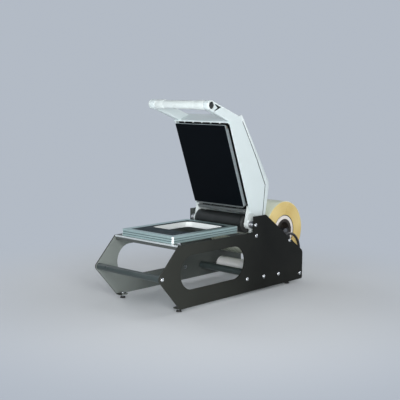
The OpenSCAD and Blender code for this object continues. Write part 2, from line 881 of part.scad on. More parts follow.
module heater_posts() {
  color("#b9bcbe") lid_pose() each_post() cylinder(r = post_r, h = liner_z - board_z);
}

// Cross knife and film clamp behind the heater
module knife_bar() {
  bar_half = guide_half;
  color("#a4a8a8") lid_pose() translate([-bar_half, knife_y, heat_z + 1])
    cube([2 * bar_half, knife_t, liner_z - heat_z - 1]);
}

module film_clamp_bar() {
  bar_half = guide_half;
  color("#9a9e9e") lid_pose() translate([-bar_half, clamp_y, heat_z + clamp_rise])
    cube([2 * bar_half, clamp_d, clamp_h]);
}

module clamp_bar_pins() {
  low = heat_z + clamp_rise + clamp_h;
  color("#c7cacb") lid_pose() for (x = [-0.6, 0.6] * guide_half)
    translate([x, clamp_y + clamp_d / 2, low]) cylinder(r = 3, h = liner_z - low);
}

// Controls on the lid's top
module control_panel() {
  color("#2a2d30") panel_pose() difference() {
    translate([-panel_l / 2, -panel_w / 2, 0]) cube([panel_l, panel_w, panel_t]);
    translate([knob_x, 0, -1]) cylinder(r = 3 + screw_clear, h = panel_t + 2);
  }
}

module knob_spindle() {
  color("#c7cacb") panel_pose() translate([knob_x, 0, 0]) cylinder(r = 3, h = panel_t + knob_h - 3);
}

module thermostat_knob() {
  grips = 12;
  color("#1b1c1e") panel_pose() translate([knob_x, 0, panel_t + loose_clear]) difference() {
    rotate_extrude() polygon([
      [3 + fit_clear, 0], [knob_r, 0], [knob_r - 1, knob_h - 2], [knob_r - 3, knob_h],
      [0, knob_h], [0, knob_h - 2], [3 + fit_clear, knob_h - 2]]);
    for (i = [0:grips - 1]) rotate(i * 360 / grips) translate([knob_r + 1, 0, 3]) cylinder(r = 2.4, h = knob_h);
  }
}

rocker_l = 22;
rocker_half = 5.6;

module switch_bezel() {
  color("#17181a") panel_pose() translate([switch_x, 0, panel_t]) difference() {
    translate([-15, -11, 0]) cube([30, 22, bezel_h]);
    translate([-rocker_l / 2 - 0.4, -rocker_half - 1.8, -1]) cube([rocker_l + 0.8, 2 * rocker_half + 3.6, bezel_h + 2]);
    bar([0, rocker_pivot - panel_t], 1.5 + fit_clear, -13, 13);
  }
}

module switch_rocker() {
  color("#b3262a") panel_pose() translate([switch_x, 0, rocker_pivot]) {
    slab(-rocker_l / 2, rocker_l / 2) polygon([
      [-2.4, -1.8], [2.4, -1.8], [rocker_half, 1], [rocker_half, 4.9], [0, 3.6], [-rocker_half, 2.1], [-rocker_half, 1]]);
    bar([0, 0], 1.5, -12.6, 12.6);
  }
}

module pilot_lamp() {
  color("#e07b2a") panel_pose() translate([lamp_x, 0, panel_t]) rotate_extrude() polygon(concat(
    [[0, 0], [5, 0], [5, 1.5]], [for (a = [0:15:90]) [4 * cos(a), 1.5 + 2.5 * sin(a)]]));
}

// Mains inlet on the lid's left side
inlet_pos = [peak.x - 10, rim_z + 46];
inlet_w = 48;
inlet_h = 28;
inlet_t = 14;

module mains_inlet() {
  recess = 10;
  color("#1b1c1e") lid_pose() mirror([1, 0, 0]) difference() {
    translate([lid_half, inlet_pos.x - inlet_w / 2, inlet_pos.y - inlet_h / 2]) cube([inlet_t - recess / 2, inlet_w, inlet_h]);
    translate([lid_half + inlet_t - 1.5 * recess, inlet_pos.x - 12, inlet_pos.y - 8.5]) cube([2 * recess, 24, 17]);
  }
}

// Film reel
module film_roll() {
  color("#d8c690") difference() {
    bar(reel_pos, roll_r, -film_w / 2, film_w / 2);
    bar(reel_pos, core_r, -film_w / 2 - 1, film_w / 2 + 1);
  }
}

module reel_core() {
  color("#e6d8d0") difference() {
    bar(reel_pos, core_r, -film_w / 2, film_w / 2);
    bar(reel_pos, core_bore_r, -film_w / 2 - 1, film_w / 2 + 1);
  }
}

module reel_hubs() {
  web = 6;
  color("#e9ded8") both_sides() difference() {
    bar(reel_pos, core_bore_r, film_w / 2 - hub_l, film_w / 2);
    bar(reel_pos, hub_bore_r, film_w / 2 - hub_l + web, film_w / 2 + 1);
    bar(reel_pos, shaft_r, film_w / 2 - hub_l - 1, film_w / 2 + 1);
  }
}

module reel_shaft() {
  shaft_end = bracket_x + bracket_t;
  color("#3a3b3c") bar(reel_pos, shaft_r, -shaft_end, shaft_end);
}

// Guide roller under the reel
roller_half = in_x - 20;
roller_bore_r = screw_r + 4;
roller_bush_l = 12;

module guide_roller() {
  color("#f1f3f2") difference() {
    bar(roller_pos, roller_r, -roller_half, roller_half);
    bar(roller_pos, roller_bore_r, -roller_half - 1, roller_half + 1);
  }
}

module roller_bushes() {
  color("#b58a4a") both_sides() difference() {
    bar(roller_pos, roller_bore_r, roller_half - roller_bush_l, roller_half);
    bar(roller_pos, screw_r + 2 + fit_clear, roller_half - roller_bush_l - 1, roller_half + 1);
  }
}

side_plate_left();
side_plate_right();
front_top_rail();
rear_top_rail();
rail_trim();
nose_tube();
lower_cross_tube();
rear_cross_tube();
tray_frame();
tray_mould();
mould_gasket();
hinge_pins();
stop_pins();
lid_springs();
film_guide_tube();
guide_tube_caps();
reel_brackets();
reel_bow();
rubber_feet();
foot_studs();
dome_screws();
inner_nuts();
roller_axle();
lid_shell();
hinge_lugs();
hinge_bushes();
grip_tube();
grip_sleeves();
grip_cap();
handle_arms();
front_ledge();
lid_liner();
heater_plate();
heater_coating();
heating_elements();
insulating_board();
thermostat_bulb();
heater_posts();
knife_bar();
film_clamp_bar();
clamp_bar_pins();
control_panel();
knob_spindle();
switch_bezel();
pilot_lamp();
mains_inlet();
thermostat_knob();
switch_rocker();
film_roll();
reel_core();
reel_hubs();
reel_shaft();
guide_roller();
roller_bushes();
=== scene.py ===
# %% [markdown]
# # A hand-worked tray sealing machine
# Two dark side plates carry a tray frame. A white heated lid stands open over it, and a reel of
# film lies behind. The CAD model fixes every place and size, and this lesson gives the pieces their
# real edges, roundings and finishes. The machine's lengths are written in millimetres, and `mm` makes
# them metres. Camera, lamps and floor are in metres.

import json
import math

import bmesh
import bpy
from mathutils import Matrix, Quaternion, Vector


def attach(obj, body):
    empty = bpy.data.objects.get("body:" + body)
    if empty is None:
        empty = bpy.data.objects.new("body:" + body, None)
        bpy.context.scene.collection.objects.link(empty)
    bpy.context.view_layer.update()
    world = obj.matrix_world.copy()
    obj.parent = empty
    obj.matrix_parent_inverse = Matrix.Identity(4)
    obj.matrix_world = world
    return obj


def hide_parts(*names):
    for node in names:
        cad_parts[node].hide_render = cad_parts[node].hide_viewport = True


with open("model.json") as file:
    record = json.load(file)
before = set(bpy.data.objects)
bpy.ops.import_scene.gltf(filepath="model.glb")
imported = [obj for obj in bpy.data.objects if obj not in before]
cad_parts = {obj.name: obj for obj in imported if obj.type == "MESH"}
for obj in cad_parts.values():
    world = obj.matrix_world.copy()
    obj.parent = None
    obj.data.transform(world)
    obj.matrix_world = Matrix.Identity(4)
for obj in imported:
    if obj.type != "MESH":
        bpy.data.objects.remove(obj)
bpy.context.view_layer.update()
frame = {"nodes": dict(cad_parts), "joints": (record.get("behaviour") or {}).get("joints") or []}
scene = bpy.context.scene
scene.view_settings.view_transform = "Standard"


def mm(*lengths):
    metres = [length / 1000 for length in lengths]
    return metres[0] if len(metres) == 1 else Vector(metres)


# %% [markdown]
# ## Camera
# The photograph was taken from the front right, a little above the tray, through a long lens. The
# camera is placed by a point it looks at, a distance, and two angles, because these say where the
# photographer stood. A very small roll levels it as the photograph is.

# %% Place the camera
AIM = Vector((0.02516, -0.057, 0.29081))
STAND_OFF = 2.50477
SENSOR, LENS = 36, 75.477
AZIMUTH, ELEVATION, ROLL = math.radians(42.473), math.radians(7.2), math.radians(0.514)
back = Vector((
    math.sin(AZIMUTH) * math.cos(ELEVATION),
    -math.cos(AZIMUTH) * math.cos(ELEVATION),
    math.sin(ELEVATION),
))
camera_data = bpy.data.cameras.new("camera")
camera_data.sensor_width = SENSOR
camera_data.lens = LENS
camera = bpy.data.objects.new("camera", camera_data)
scene.collection.objects.link(camera)
turn_to_aim = back.to_track_quat("Z", "Y") @ Quaternion((0, 0, 1), ROLL)
camera.matrix_world = Matrix.Translation(AIM + STAND_OFF * back) @ turn_to_aim.to_matrix().to_4x4()
scene.camera = camera
print("camera at", [round(value, 3) for value in camera.matrix_world.translation])

# %% [markdown]
# ## Wiring nodes
# A material is a chart of nodes. In the editor its wires are drawn by hand, and here a few helpers
# draw them: one sets or links a socket, and the others add a sum, a range or a mix of two colours.
# Each takes plain values or the output of another node, so the later cells stay short.

# %% Wire nodes
def feed(tree, socket, value):
    if isinstance(value, bpy.types.NodeSocket):
        tree.links.new(value, socket)
    else:
        socket.default_value = value


def maths(tree, operation, *values):
    node = tree.nodes.new("ShaderNodeMath")
    node.operation = operation
    for socket, value in zip(node.inputs, values):
        feed(tree, socket, value)
    return node.outputs["Value"]


def spread(tree, value, low, high, start=0.0, end=1.0):
    node = tree.nodes.new("ShaderNodeMapRange")
    numbers = {"Value": value, "From Min": low, "From Max": high, "To Min": start, "To Max": end}
    for label, number in numbers.items():
        feed(tree, node.inputs[label], number)
    return node


def mix_colours(tree, factor, first, second):
    node = tree.nodes.new("ShaderNodeMix")
    node.data_type = "RGBA"
    for label, value in {"Factor": factor, "A": first, "B": second}.items():
        feed(tree, node.inputs[label], value)
    return node


def blend_shaders(tree, factor, first, second, target):
    blend = tree.nodes.new("ShaderNodeMixShader")
    for socket, value in zip(blend.inputs, (factor, first, second)):
        tree.links.new(value, socket)
    tree.links.new(blend.outputs["Shader"], target)


print("helpers for sums, ranges and mixes are ready")

# %% [markdown]
# ## Floor and light
# A studio sweep could be a bent sheet, but this object is looked at from all sides, so the floor is
# one wide round plate that fades into the world's pale tone. The fade is only for rays that the
# camera sees, straight or in a reflection. It adds no light, and the floor keeps its shadow.

# %% Lay the floor
PALE = (0.45, 0.495, 0.56, 1)
FLOOR_GREY = (0.72, 0.75, 0.78, 1)
FLOOR_R, FLOOR_STEPS = 14, 96
FADE_START, FADE_END = 0.3, 1.05


def seen_rays(tree):
    path = tree.nodes.new("ShaderNodeLightPath")
    seen = maths(tree, "MAXIMUM", path.outputs["Is Camera Ray"], path.outputs["Is Glossy Ray"])
    return maths(tree, "MAXIMUM", seen, path.outputs["Is Transmission Ray"])


def floor_paint():
    material = bpy.data.materials.new("floor")
    material.use_nodes = True
    tree = material.node_tree
    shader = tree.nodes["Principled BSDF"]
    shader.inputs["Base Color"].default_value = FLOOR_GREY
    shader.inputs["Roughness"].default_value = 0.9
    shader.inputs["Specular IOR Level"].default_value = 0.1
    glow = tree.nodes.new("ShaderNodeEmission")
    glow.inputs["Color"].default_value = PALE
    place = tree.nodes.new("ShaderNodeTexCoord")
    away = tree.nodes.new("ShaderNodeVectorMath")
    away.operation = "LENGTH"
    tree.links.new(place.outputs["Object"], away.inputs[0])
    fade = spread(tree, away.outputs["Value"], FADE_START, FADE_END)
    fade.interpolation_type = "SMOOTHSTEP"
    faded = maths(tree, "MULTIPLY", fade.outputs["Result"], seen_rays(tree))
    surface = tree.nodes["Material Output"].inputs["Surface"]
    blend_shaders(tree, faded, shader.outputs["BSDF"], glow.outputs["Emission"], surface)
    return material


def studio_floor():
    bm = bmesh.new()
    bmesh.ops.create_circle(bm, cap_ends=True, cap_tris=False, segments=FLOOR_STEPS, radius=FLOOR_R)
    mesh = bpy.data.meshes.new("floor")
    bm.to_mesh(mesh)
    bm.free()
    mesh.materials.append(floor_paint())
    floor = bpy.data.objects.new("floor", mesh)
    scene.collection.objects.link(floor)
    return floor


floor = studio_floor()
print("floor", round(floor.dimensions.x, 1), "m across")

# %% [markdown]
# ## Soft boxes
# Large area lamps act as soft boxes. The main one stands at the right and not high, so the lid's
# side and the plates are brighter than what faces up. A second one fills from the front, and a weak
# one above the reel parts the lid from the ground behind it. Two more, at the left and the rear,
# show the other sides. They stand off the line that would mirror them in the tray.

# %% Light the object
WHITE = (1.0, 1.0, 1.0)
SOFT_BOXES = [
    ("key", (1.65, -1.3, 0.7), (0, 0, 0.25), (1.0, 1.0), 32, (1.0, 0.995, 0.985)),
    ("front", (0.05, -2.3, 0.5), (0, 0, 0.15), (0.8, 0.5), 15, (0.97, 0.985, 1.0)),
    ("top", (-0.3, 0.9, 2.4), (0, 0, 0.2), (1.4, 1.4), 5, WHITE),
    ("left", (-2.1, -0.2, 1.0), (0, 0, 0.25), (1.1, 1.1), 12, WHITE),
    ("rear", (0.8, 2.2, 1.1), (0, 0, 0.25), (1.2, 1.2), 14, WHITE),
]
WORLD_TONE, WORLD_STRENGTH = (0.80, 0.84, 0.88, 1), 0.22


def soft_box(name, place, aim, size, watts, colour):
    lamp = bpy.data.lights.new(name, "AREA")
    lamp.shape = "RECTANGLE"
    lamp.size, lamp.size_y = size
    lamp.energy = watts
    lamp.color = colour
    holder = bpy.data.objects.new(name, lamp)
    scene.collection.objects.link(holder)
    toward = (Vector(aim) - Vector(place)).to_track_quat("-Z", "Y")
    holder.matrix_world = Matrix.Translation(place) @ toward.to_matrix().to_4x4()


def studio_world():
    world = bpy.data.worlds.new("studio")
    scene.world = world
    world.use_nodes = True
    tree = world.node_tree
    dim = tree.nodes["Background"]
    dim.inputs["Color"].default_value = WORLD_TONE
    dim.inputs["Strength"].default_value = WORLD_STRENGTH
    pale = tree.nodes.new("ShaderNodeBackground")
    pale.inputs["Color"].default_value = PALE
    surface = tree.nodes["World Output"].inputs["Surface"]
    blend_shaders(tree, seen_rays(tree), dim.outputs[0], pale.outputs[0], surface)


for box in SOFT_BOXES:
    soft_box(*box)
studio_world()

# %% [markdown]
# ## Shared surface effects
# Several finishes need the same things: a cloudy change of tone, streaks left by rolling or milling,
# and a very fine relief. Each is a node group that is built once. The groups put out plain numbers
# that change over the surface, and every material decides what to do with them.

# %% Build the node groups
def effect_group(name, inputs, output):
    group = bpy.data.node_groups.new(name, "ShaderNodeTree")
    for label, kind, value in inputs:
        socket = group.interface.new_socket(name=label, in_out="INPUT", socket_type=kind)
        socket.default_value = value
    group.interface.new_socket(name=output, in_out="OUTPUT", socket_type="NodeSocketFloat")
    entry = group.nodes.new("NodeGroupInput")
    leave = group.nodes.new("NodeGroupOutput")
    place = group.nodes.new("ShaderNodeTexCoord")
    return group, entry, leave, place


def cloudy_tone():
    group, entry, leave, place = effect_group(
        "cloudy tone",
        [("Scale", "NodeSocketFloat", 20.0), ("Detail", "NodeSocketFloat", 4.0)],
        "Tone",
    )
    noise = group.nodes.new("ShaderNodeTexNoise")
    group.links.new(place.outputs["Object"], noise.inputs["Vector"])
    group.links.new(entry.outputs["Scale"], noise.inputs["Scale"])
    group.links.new(entry.outputs["Detail"], noise.inputs["Detail"])
    group.links.new(noise.outputs["Fac"], leave.inputs["Tone"])
    return group


def drawn_streaks():
    group, entry, leave, place = effect_group(
        "drawn streaks", [("Stretch", "NodeSocketVector", (10.0, 10.0, 900.0))], "Tone"
    )
    stretch = group.nodes.new("ShaderNodeVectorMath")
    stretch.operation = "MULTIPLY"
    noise = group.nodes.new("ShaderNodeTexNoise")
    noise.inputs["Scale"].default_value = 1.0
    noise.inputs["Detail"].default_value = 3.0
    group.links.new(place.outputs["Object"], stretch.inputs[0])
    group.links.new(entry.outputs["Stretch"], stretch.inputs[1])
    group.links.new(stretch.outputs[0], noise.inputs["Vector"])
    group.links.new(noise.outputs["Fac"], leave.inputs["Tone"])
    return group


def fine_relief():
    group, entry, leave, place = effect_group(
        "fine relief", [("Scale", "NodeSocketFloat", 700.0)], "Height"
    )
    noise = group.nodes.new("ShaderNodeTexNoise")
    noise.inputs["Detail"].default_value = 2.0
    group.links.new(place.outputs["Object"], noise.inputs["Vector"])
    group.links.new(entry.outputs["Scale"], noise.inputs["Scale"])
    group.links.new(noise.outputs["Fac"], leave.inputs["Height"])
    return group


CLOUDS = cloudy_tone()
STREAKS = drawn_streaks()
RELIEF = fine_relief()
print("groups:", [group.name for group in bpy.data.node_groups])

# %% [markdown]
# ## Finishes
# Paint, bare metal, rubber and plastic differ mostly in colour, gloss and grain. One helper wires
# them all: a tone pattern mixes two close colours and spreads the roughness, and a fine relief bends
# the light a little. No real surface has one flat colour, so the two colours are never the same.

# %% Make a finish
FINISH = {}
TONE_LOW, TONE_HIGH = 0.3, 0.7
COAT_ROUGHNESS = 0.08
RELIEF_HEIGHT = mm(0.2)


def group_node(tree, group, **values):
    node = tree.nodes.new("ShaderNodeGroup")
    node.node_tree = group
    for label, value in values.items():
        node.inputs[label].default_value = value
    return node


def finish(
    name, light, dark, rough, pattern, metallic=0.0, coat=0.0, grain=700.0, depth=0.1, mirror=0.5
):
    material = bpy.data.materials.new(name)
    material.use_nodes = True
    tree = material.node_tree
    shader = tree.nodes["Principled BSDF"]
    shader.inputs["Metallic"].default_value = metallic
    shader.inputs["Coat Weight"].default_value = coat
    shader.inputs["Coat Roughness"].default_value = COAT_ROUGHNESS
    shader.inputs["Specular IOR Level"].default_value = mirror
    group, values = pattern
    tone = group_node(tree, group, **values)
    tone.name = "tone"
    colour = mix_colours(tree, tone.outputs["Tone"], (*dark, 1), (*light, 1))
    colour.name = "two colours"
    gloss = spread(tree, tone.outputs["Tone"], TONE_LOW, TONE_HIGH, *rough)
    relief = group_node(tree, RELIEF, Scale=grain)
    bump = tree.nodes.new("ShaderNodeBump")
    bump.name = "bump"
    bump.inputs["Strength"].default_value = depth
    bump.inputs["Distance"].default_value = RELIEF_HEIGHT
    tree.links.new(colour.outputs["Result"], shader.inputs["Base Color"])
    tree.links.new(gloss.outputs["Result"], shader.inputs["Roughness"])
    tree.links.new(relief.outputs["Height"], bump.inputs["Height"])
    tree.links.new(bump.outputs["Normal"], shader.inputs["Normal"])
    FINISH[name] = material
    return material


def clouds(scale, detail=4.0):
    return CLOUDS, {"Scale": scale, "Detail": detail}


def streaks(x, y, z):
    return STREAKS, {"Stretch": (x, y, z)}


print("a finish needs two colours, a gloss and a pattern")

# %% [markdown]
# ## Paints
# The plates and tubes are powder coated, which leaves a fine orange peel, and the lid and its handle
# have a smooth white lacquer with a little clear coat. All take cloudy tones. A dark grey, painted
# shade for the lid's grooves and pockets, belongs to the lid's paint.

# %% Paints
finish(
    "plate_paint", (0.042, 0.045, 0.039), (0.003, 0.0034, 0.003), (0.36, 0.5), clouds(11),
    grain=1400, depth=0.16, mirror=0.1,
)
# The inner sides' paint is a lighter, lit copy of the plate paint: painted light.
finish(
    "plate_inside_lit", (0.27, 0.30, 0.285), (0.045, 0.053, 0.050), (0.36, 0.5), clouds(9),
    grain=1400, depth=0.16, mirror=0.3,
)
finish(
    "rail_paint", (0.085, 0.094, 0.090), (0.058, 0.066, 0.063), (0.34, 0.48), clouds(18),
    grain=1400, depth=0.14,
)
finish(
    "tube_paint", (0.044, 0.060, 0.059), (0.026, 0.037, 0.037), (0.26, 0.4), clouds(22),
    grain=1200, depth=0.1,
)
finish(
    "guide_paint", (0.020, 0.023, 0.023), (0.012, 0.014, 0.014), (0.26, 0.4), clouds(20),
    grain=1200, depth=0.08, mirror=0.3,
)
finish(
    "black_steel", (0.014, 0.014, 0.015), (0.008, 0.008, 0.009), (0.3, 0.45), clouds(40),
    grain=1200, depth=0.12,
)
finish(
    "lid_white", (0.765, 0.855, 0.865), (0.725, 0.818, 0.832), (0.27, 0.35), clouds(12),
    coat=0.2, grain=420, depth=0.05,
)
# The dark grey of the lid's grooves and pockets is painted shade.
finish(
    "recess_shade_grey", (0.075, 0.095, 0.10), (0.05, 0.066, 0.07), (0.45, 0.6), clouds(30),
    grain=900, depth=0.1, mirror=0.2,
)
finish(
    "lug_white", (0.76, 0.82, 0.82), (0.68, 0.745, 0.745), (0.26, 0.38), clouds(20),
    coat=0.15, grain=420, depth=0.05,
)
finish(
    "handle_white", (0.77, 0.84, 0.835), (0.735, 0.805, 0.80), (0.24, 0.33), clouds(16),
    coat=0.25, grain=420, depth=0.04,
)
print("paints:", len(FINISH))

# %% [markdown]
# ## Metals
# Drawn, milled and turned metal has streaks along the way it was worked, so its pattern is stretched
# that way. Plated, cast and rubbed metal has none, and takes cloudy tones.

# %% Metals
finish(
    "bright_trim", (0.80, 0.84, 0.84), (0.66, 0.71, 0.71), (0.16, 0.3), streaks(6, 700, 700),
    metallic=0.6, depth=0.05,
)
finish(
    "frame_aluminium", (0.49, 0.635, 0.625), (0.32, 0.45, 0.445), (0.26, 0.44),
    streaks(14, 14, 1100), metallic=0.6, depth=0.06,
)
# Painted shade for the frame's grooves.
finish(
    "frame_groove_shade", (0.17, 0.23, 0.24), (0.12, 0.165, 0.175), (0.4, 0.55), clouds(60),
    metallic=0.3, depth=0.06,
)
# Painted highlight for the frame's round corners.
finish(
    "frame_corner_highlight", (0.93, 0.96, 0.96), (0.86, 0.90, 0.90), (0.22, 0.34), clouds(60),
    metallic=0.25, depth=0.05,
)
finish(
    "mould_aluminium", (0.92, 0.95, 0.94), (0.82, 0.87, 0.86), (0.3, 0.46), streaks(500, 500, 12),
    metallic=0.1, depth=0.08,
)
finish(
    "pin_steel", (0.62, 0.64, 0.66), (0.48, 0.50, 0.52), (0.2, 0.34), streaks(40, 400, 400),
    metallic=1.0, depth=0.04,
)
finish(
    "spring_steel", (0.40, 0.41, 0.43), (0.28, 0.29, 0.31), (0.28, 0.42), clouds(120),
    metallic=1.0, depth=0.06,
)
finish(
    "stud_steel", (0.68, 0.70, 0.72), (0.54, 0.56, 0.58), (0.18, 0.32), clouds(160),
    metallic=1.0, depth=0.05,
)
finish(
    "screw_steel", (0.62, 0.63, 0.64), (0.48, 0.50, 0.51), (0.12, 0.24), clouds(220),
    metallic=1.0, depth=0.04,
)
finish(
    "bush_bronze", (0.56, 0.39, 0.16), (0.42, 0.28, 0.11), (0.3, 0.46), clouds(180),
    metallic=1.0, depth=0.1,
)
finish(
    "heater_aluminium", (0.52, 0.58, 0.60), (0.34, 0.39, 0.41), (0.3, 0.5), streaks(260, 30, 260),
    metallic=0.5, depth=0.08,
)
finish(
    "element_metal", (0.34, 0.24, 0.15), (0.22, 0.15, 0.10), (0.4, 0.6), clouds(60),
    metallic=0.8, depth=0.1,
)
finish(
    "bulb_steel", (0.62, 0.64, 0.65), (0.48, 0.50, 0.52), (0.24, 0.4), clouds(120),
    metallic=1.0, depth=0.05,
)
finish(
    "bar_aluminium", (0.22, 0.24, 0.24), (0.13, 0.145, 0.15), (0.3, 0.48), streaks(10, 600, 600),
    metallic=0.5, depth=0.08,
)
finish(
    "shaft_steel", (0.20, 0.20, 0.21), (0.13, 0.13, 0.14), (0.3, 0.45), streaks(20, 300, 300),
    metallic=0.9, depth=0.06,
)
print("with metals:", len(FINISH))

# %% [markdown]
# ## Rubber, plastic and board
# Most of these are dull. Their grain differs: it is fine on moulded plastic, and coarse on board and
# card. The lamp's cap and the rocker are the only glossy ones, so they get a clear coat.

# %% Rubber, plastic and board
finish(
    "seal_rubber", (0.018, 0.034, 0.041), (0.010, 0.019, 0.023), (0.5, 0.7), clouds(60),
    grain=900, depth=0.2, mirror=0.12,
)
finish(
    "foot_rubber", (0.020, 0.020, 0.020), (0.011, 0.011, 0.011), (0.55, 0.75), clouds(90),
    grain=900, depth=0.2,
)
finish(
    "cap_plastic", (0.036, 0.037, 0.036), (0.024, 0.025, 0.024), (0.4, 0.55), clouds(60),
    grain=900, depth=0.1,
)
finish(
    "liner_black", (0.010, 0.011, 0.012), (0.006, 0.006, 0.007), (0.6, 0.75), clouds(26),
    grain=900, depth=0.14, mirror=0.15,
)
finish(
    "board_fibre", (0.24, 0.225, 0.19), (0.17, 0.16, 0.13), (0.7, 0.88), clouds(150, 6.0),
    grain=500, depth=0.3,
)
finish(
    "panel_plastic", (0.034, 0.036, 0.039), (0.022, 0.024, 0.026), (0.38, 0.52), clouds(70),
    grain=1500, depth=0.2,
)
finish(
    "lamp_orange", (0.80, 0.24, 0.03), (0.66, 0.16, 0.02), (0.08, 0.16), clouds(200),
    coat=0.6, grain=300, depth=0.05,
)
finish(
    "rocker_red", (0.52, 0.022, 0.022), (0.42, 0.014, 0.015), (0.2, 0.32), clouds(160),
    coat=0.2, grain=900, depth=0.05,
)
finish(
    "hub_plastic", (0.042, 0.034, 0.029), (0.024, 0.020, 0.017), (0.4, 0.55), clouds(40),
    grain=700, depth=0.06, mirror=0.2,
)
finish(
    "core_card", (0.90, 0.86, 0.82), (0.79, 0.74, 0.69), (0.7, 0.86), clouds(120, 6.0),
    grain=600, depth=0.25,
)
finish(
    "roller_white", (0.93, 0.94, 0.94), (0.86, 0.88, 0.88), (0.3, 0.42), clouds(30),
    grain=700, depth=0.05,
)
print("with plastics:", len(FINISH))

# %% [markdown]
# ## Painted light on the plates
# The plates' paint is not the same all along. It is painted paler at the front, where more light
# falls, and nearly black at the rear: a painted gradient of light and shade. It could be painted on by
# hand, but the place along the plate says enough: it is added to the cloudy tone that mixes the
# paint's two colours.

# %% Paint light along the plates
MOST_LIT, PATCHES = 0.8, 0.35


# Painted light: the plate paint turns paler towards the front and darker towards the rear.
def paint_light_along(paint, front, rear):
    tree = FINISH[paint].node_tree
    place = tree.nodes.new("ShaderNodeTexCoord")
    split = tree.nodes.new("ShaderNodeSeparateXYZ")
    tree.links.new(place.outputs["Object"], split.inputs["Vector"])
    along = spread(tree, split.outputs["Y"], mm(rear), mm(front), end=MOST_LIT)
    tone = tree.nodes["tone"].outputs["Tone"]
    patchy = maths(tree, "MULTIPLY_ADD", tone, PATCHES, along.outputs["Result"])
    tree.links.new(patchy, tree.nodes["two colours"].inputs["Factor"])


paint_light_along("plate_paint", front=-360, rear=120)
paint_light_along("plate_inside_lit", front=-330, rear=20)
# Painted light: both plate paints are lighter towards the front.
print("plates worn towards the front")

# %% [markdown]
# ## Heater sheet
# The black face that presses the film on the trays is a woven glass cloth with a non-stick coating.
# Two band textures at right angles give the weave. The lid stands open, so a Mapping node turns the
# weave by the opening angle, and it runs square to the plate.

# %% Weave the heater sheet
WEAVE_SCALE = 260


def joint(name):
    return next(item for item in frame["joints"] if item["name"] == name)


OPEN = math.radians(joint("lid_hinge")["range_deg"][1])


def heater_sheet():
    material = finish(
        "heater_coat", (0.0030, 0.0045, 0.0065), (0.0020, 0.0030, 0.0045), (0.45, 0.6), clouds(8),
        grain=900, depth=0.15, mirror=0.03,
    )
    tree = material.node_tree
    place = tree.nodes.new("ShaderNodeTexCoord")
    square = tree.nodes.new("ShaderNodeMapping")
    square.inputs["Rotation"].default_value = (OPEN, 0, 0)
    tree.links.new(place.outputs["Object"], square.inputs["Vector"])
    threads = []
    for direction in ("X", "Y"):
        band = tree.nodes.new("ShaderNodeTexWave")
        band.bands_direction = direction
        band.inputs["Scale"].default_value = WEAVE_SCALE
        tree.links.new(square.outputs["Vector"], band.inputs["Vector"])
        threads.append(band.outputs["Fac"])
    weave = maths(tree, "MULTIPLY", *threads)
    tree.links.new(weave, tree.nodes["bump"].inputs["Height"])


heater_sheet()
print("heater sheet woven at an angle of", round(math.degrees(OPEN), 1))

# %% [markdown]
# ## Film
# The reel is one long clear film, wound so often that its ends look honey yellow. They show fine
# rings, one for each change in how tightly it was wound, and a dark band at the core, which is painted
# shade in the step there. The barrel is one smooth layer over many, so it looks paler and a little
# green. The distance from the reel's axis drives all of these.

# %% Measure from the reel's axis
REEL = Vector(joint("reel_spin")["pos_m"])


def reel_distance(tree):
    place = tree.nodes.new("ShaderNodeTexCoord")
    centre = tree.nodes.new("ShaderNodeMapping")
    centre.inputs["Location"].default_value = (0, -REEL.y, -REEL.z)
    flat = tree.nodes.new("ShaderNodeVectorMath")
    flat.operation = "MULTIPLY"
    flat.inputs[1].default_value = (0, 1, 1)
    radius = tree.nodes.new("ShaderNodeVectorMath")
    radius.operation = "LENGTH"
    tree.links.new(place.outputs["Object"], centre.inputs["Vector"])
    tree.links.new(centre.outputs["Vector"], flat.inputs[0])
    tree.links.new(flat.outputs["Vector"], radius.inputs[0])
    return radius.outputs["Value"]


print("reel axis at", [round(value, 3) for value in REEL])

# %% [markdown]
# ## Colours of the film
# The ends mix two yellows by fine rings and slow clouds, and a narrow band at the core is painted dark
# as shade. At the outer radius the barrel's two greens take over. An image could show this too, but it
# would blur from close by.

# %% Colour the film
BARREL, BARREL_EDGE = mm(94), mm(1.5)
BARREL_DARK, BARREL_LIGHT = (0.51, 0.55, 0.44, 1), (0.57, 0.60, 0.49, 1)
# The narrow band at the core takes a painted shade.
WRAP_START, WRAP_END, WRAP_PAINTED_SHADE = mm(50.6), mm(51.2), (0.09, 0.075, 0.045, 1)
RING_SCALE, RING_SHARE, CLOUD_SHARE, TONE_SHIFT = 420, 0.7, 1.6, -0.65


def film_ends(tree, distance):
    rings = tree.nodes.new("ShaderNodeTexNoise")
    rings.noise_dimensions = "1D"
    rings.inputs["Scale"].default_value = RING_SCALE
    rings.inputs["Detail"].default_value = 6
    tree.links.new(distance, rings.inputs["W"])
    slow = group_node(tree, CLOUDS, Scale=14.0, Detail=1.0)
    ringed = maths(tree, "MULTIPLY_ADD", rings.outputs["Fac"], RING_SHARE, TONE_SHIFT)
    uneven = maths(tree, "MULTIPLY_ADD", slow.outputs["Tone"], CLOUD_SHARE, ringed)
    ends = tree.nodes["two colours"]
    tree.links.new(uneven, ends.inputs["Factor"])
    wrapped = spread(tree, distance, WRAP_START, WRAP_END)
    return mix_colours(tree, wrapped.outputs["Result"], WRAP_PAINTED_SHADE, ends.outputs["Result"])


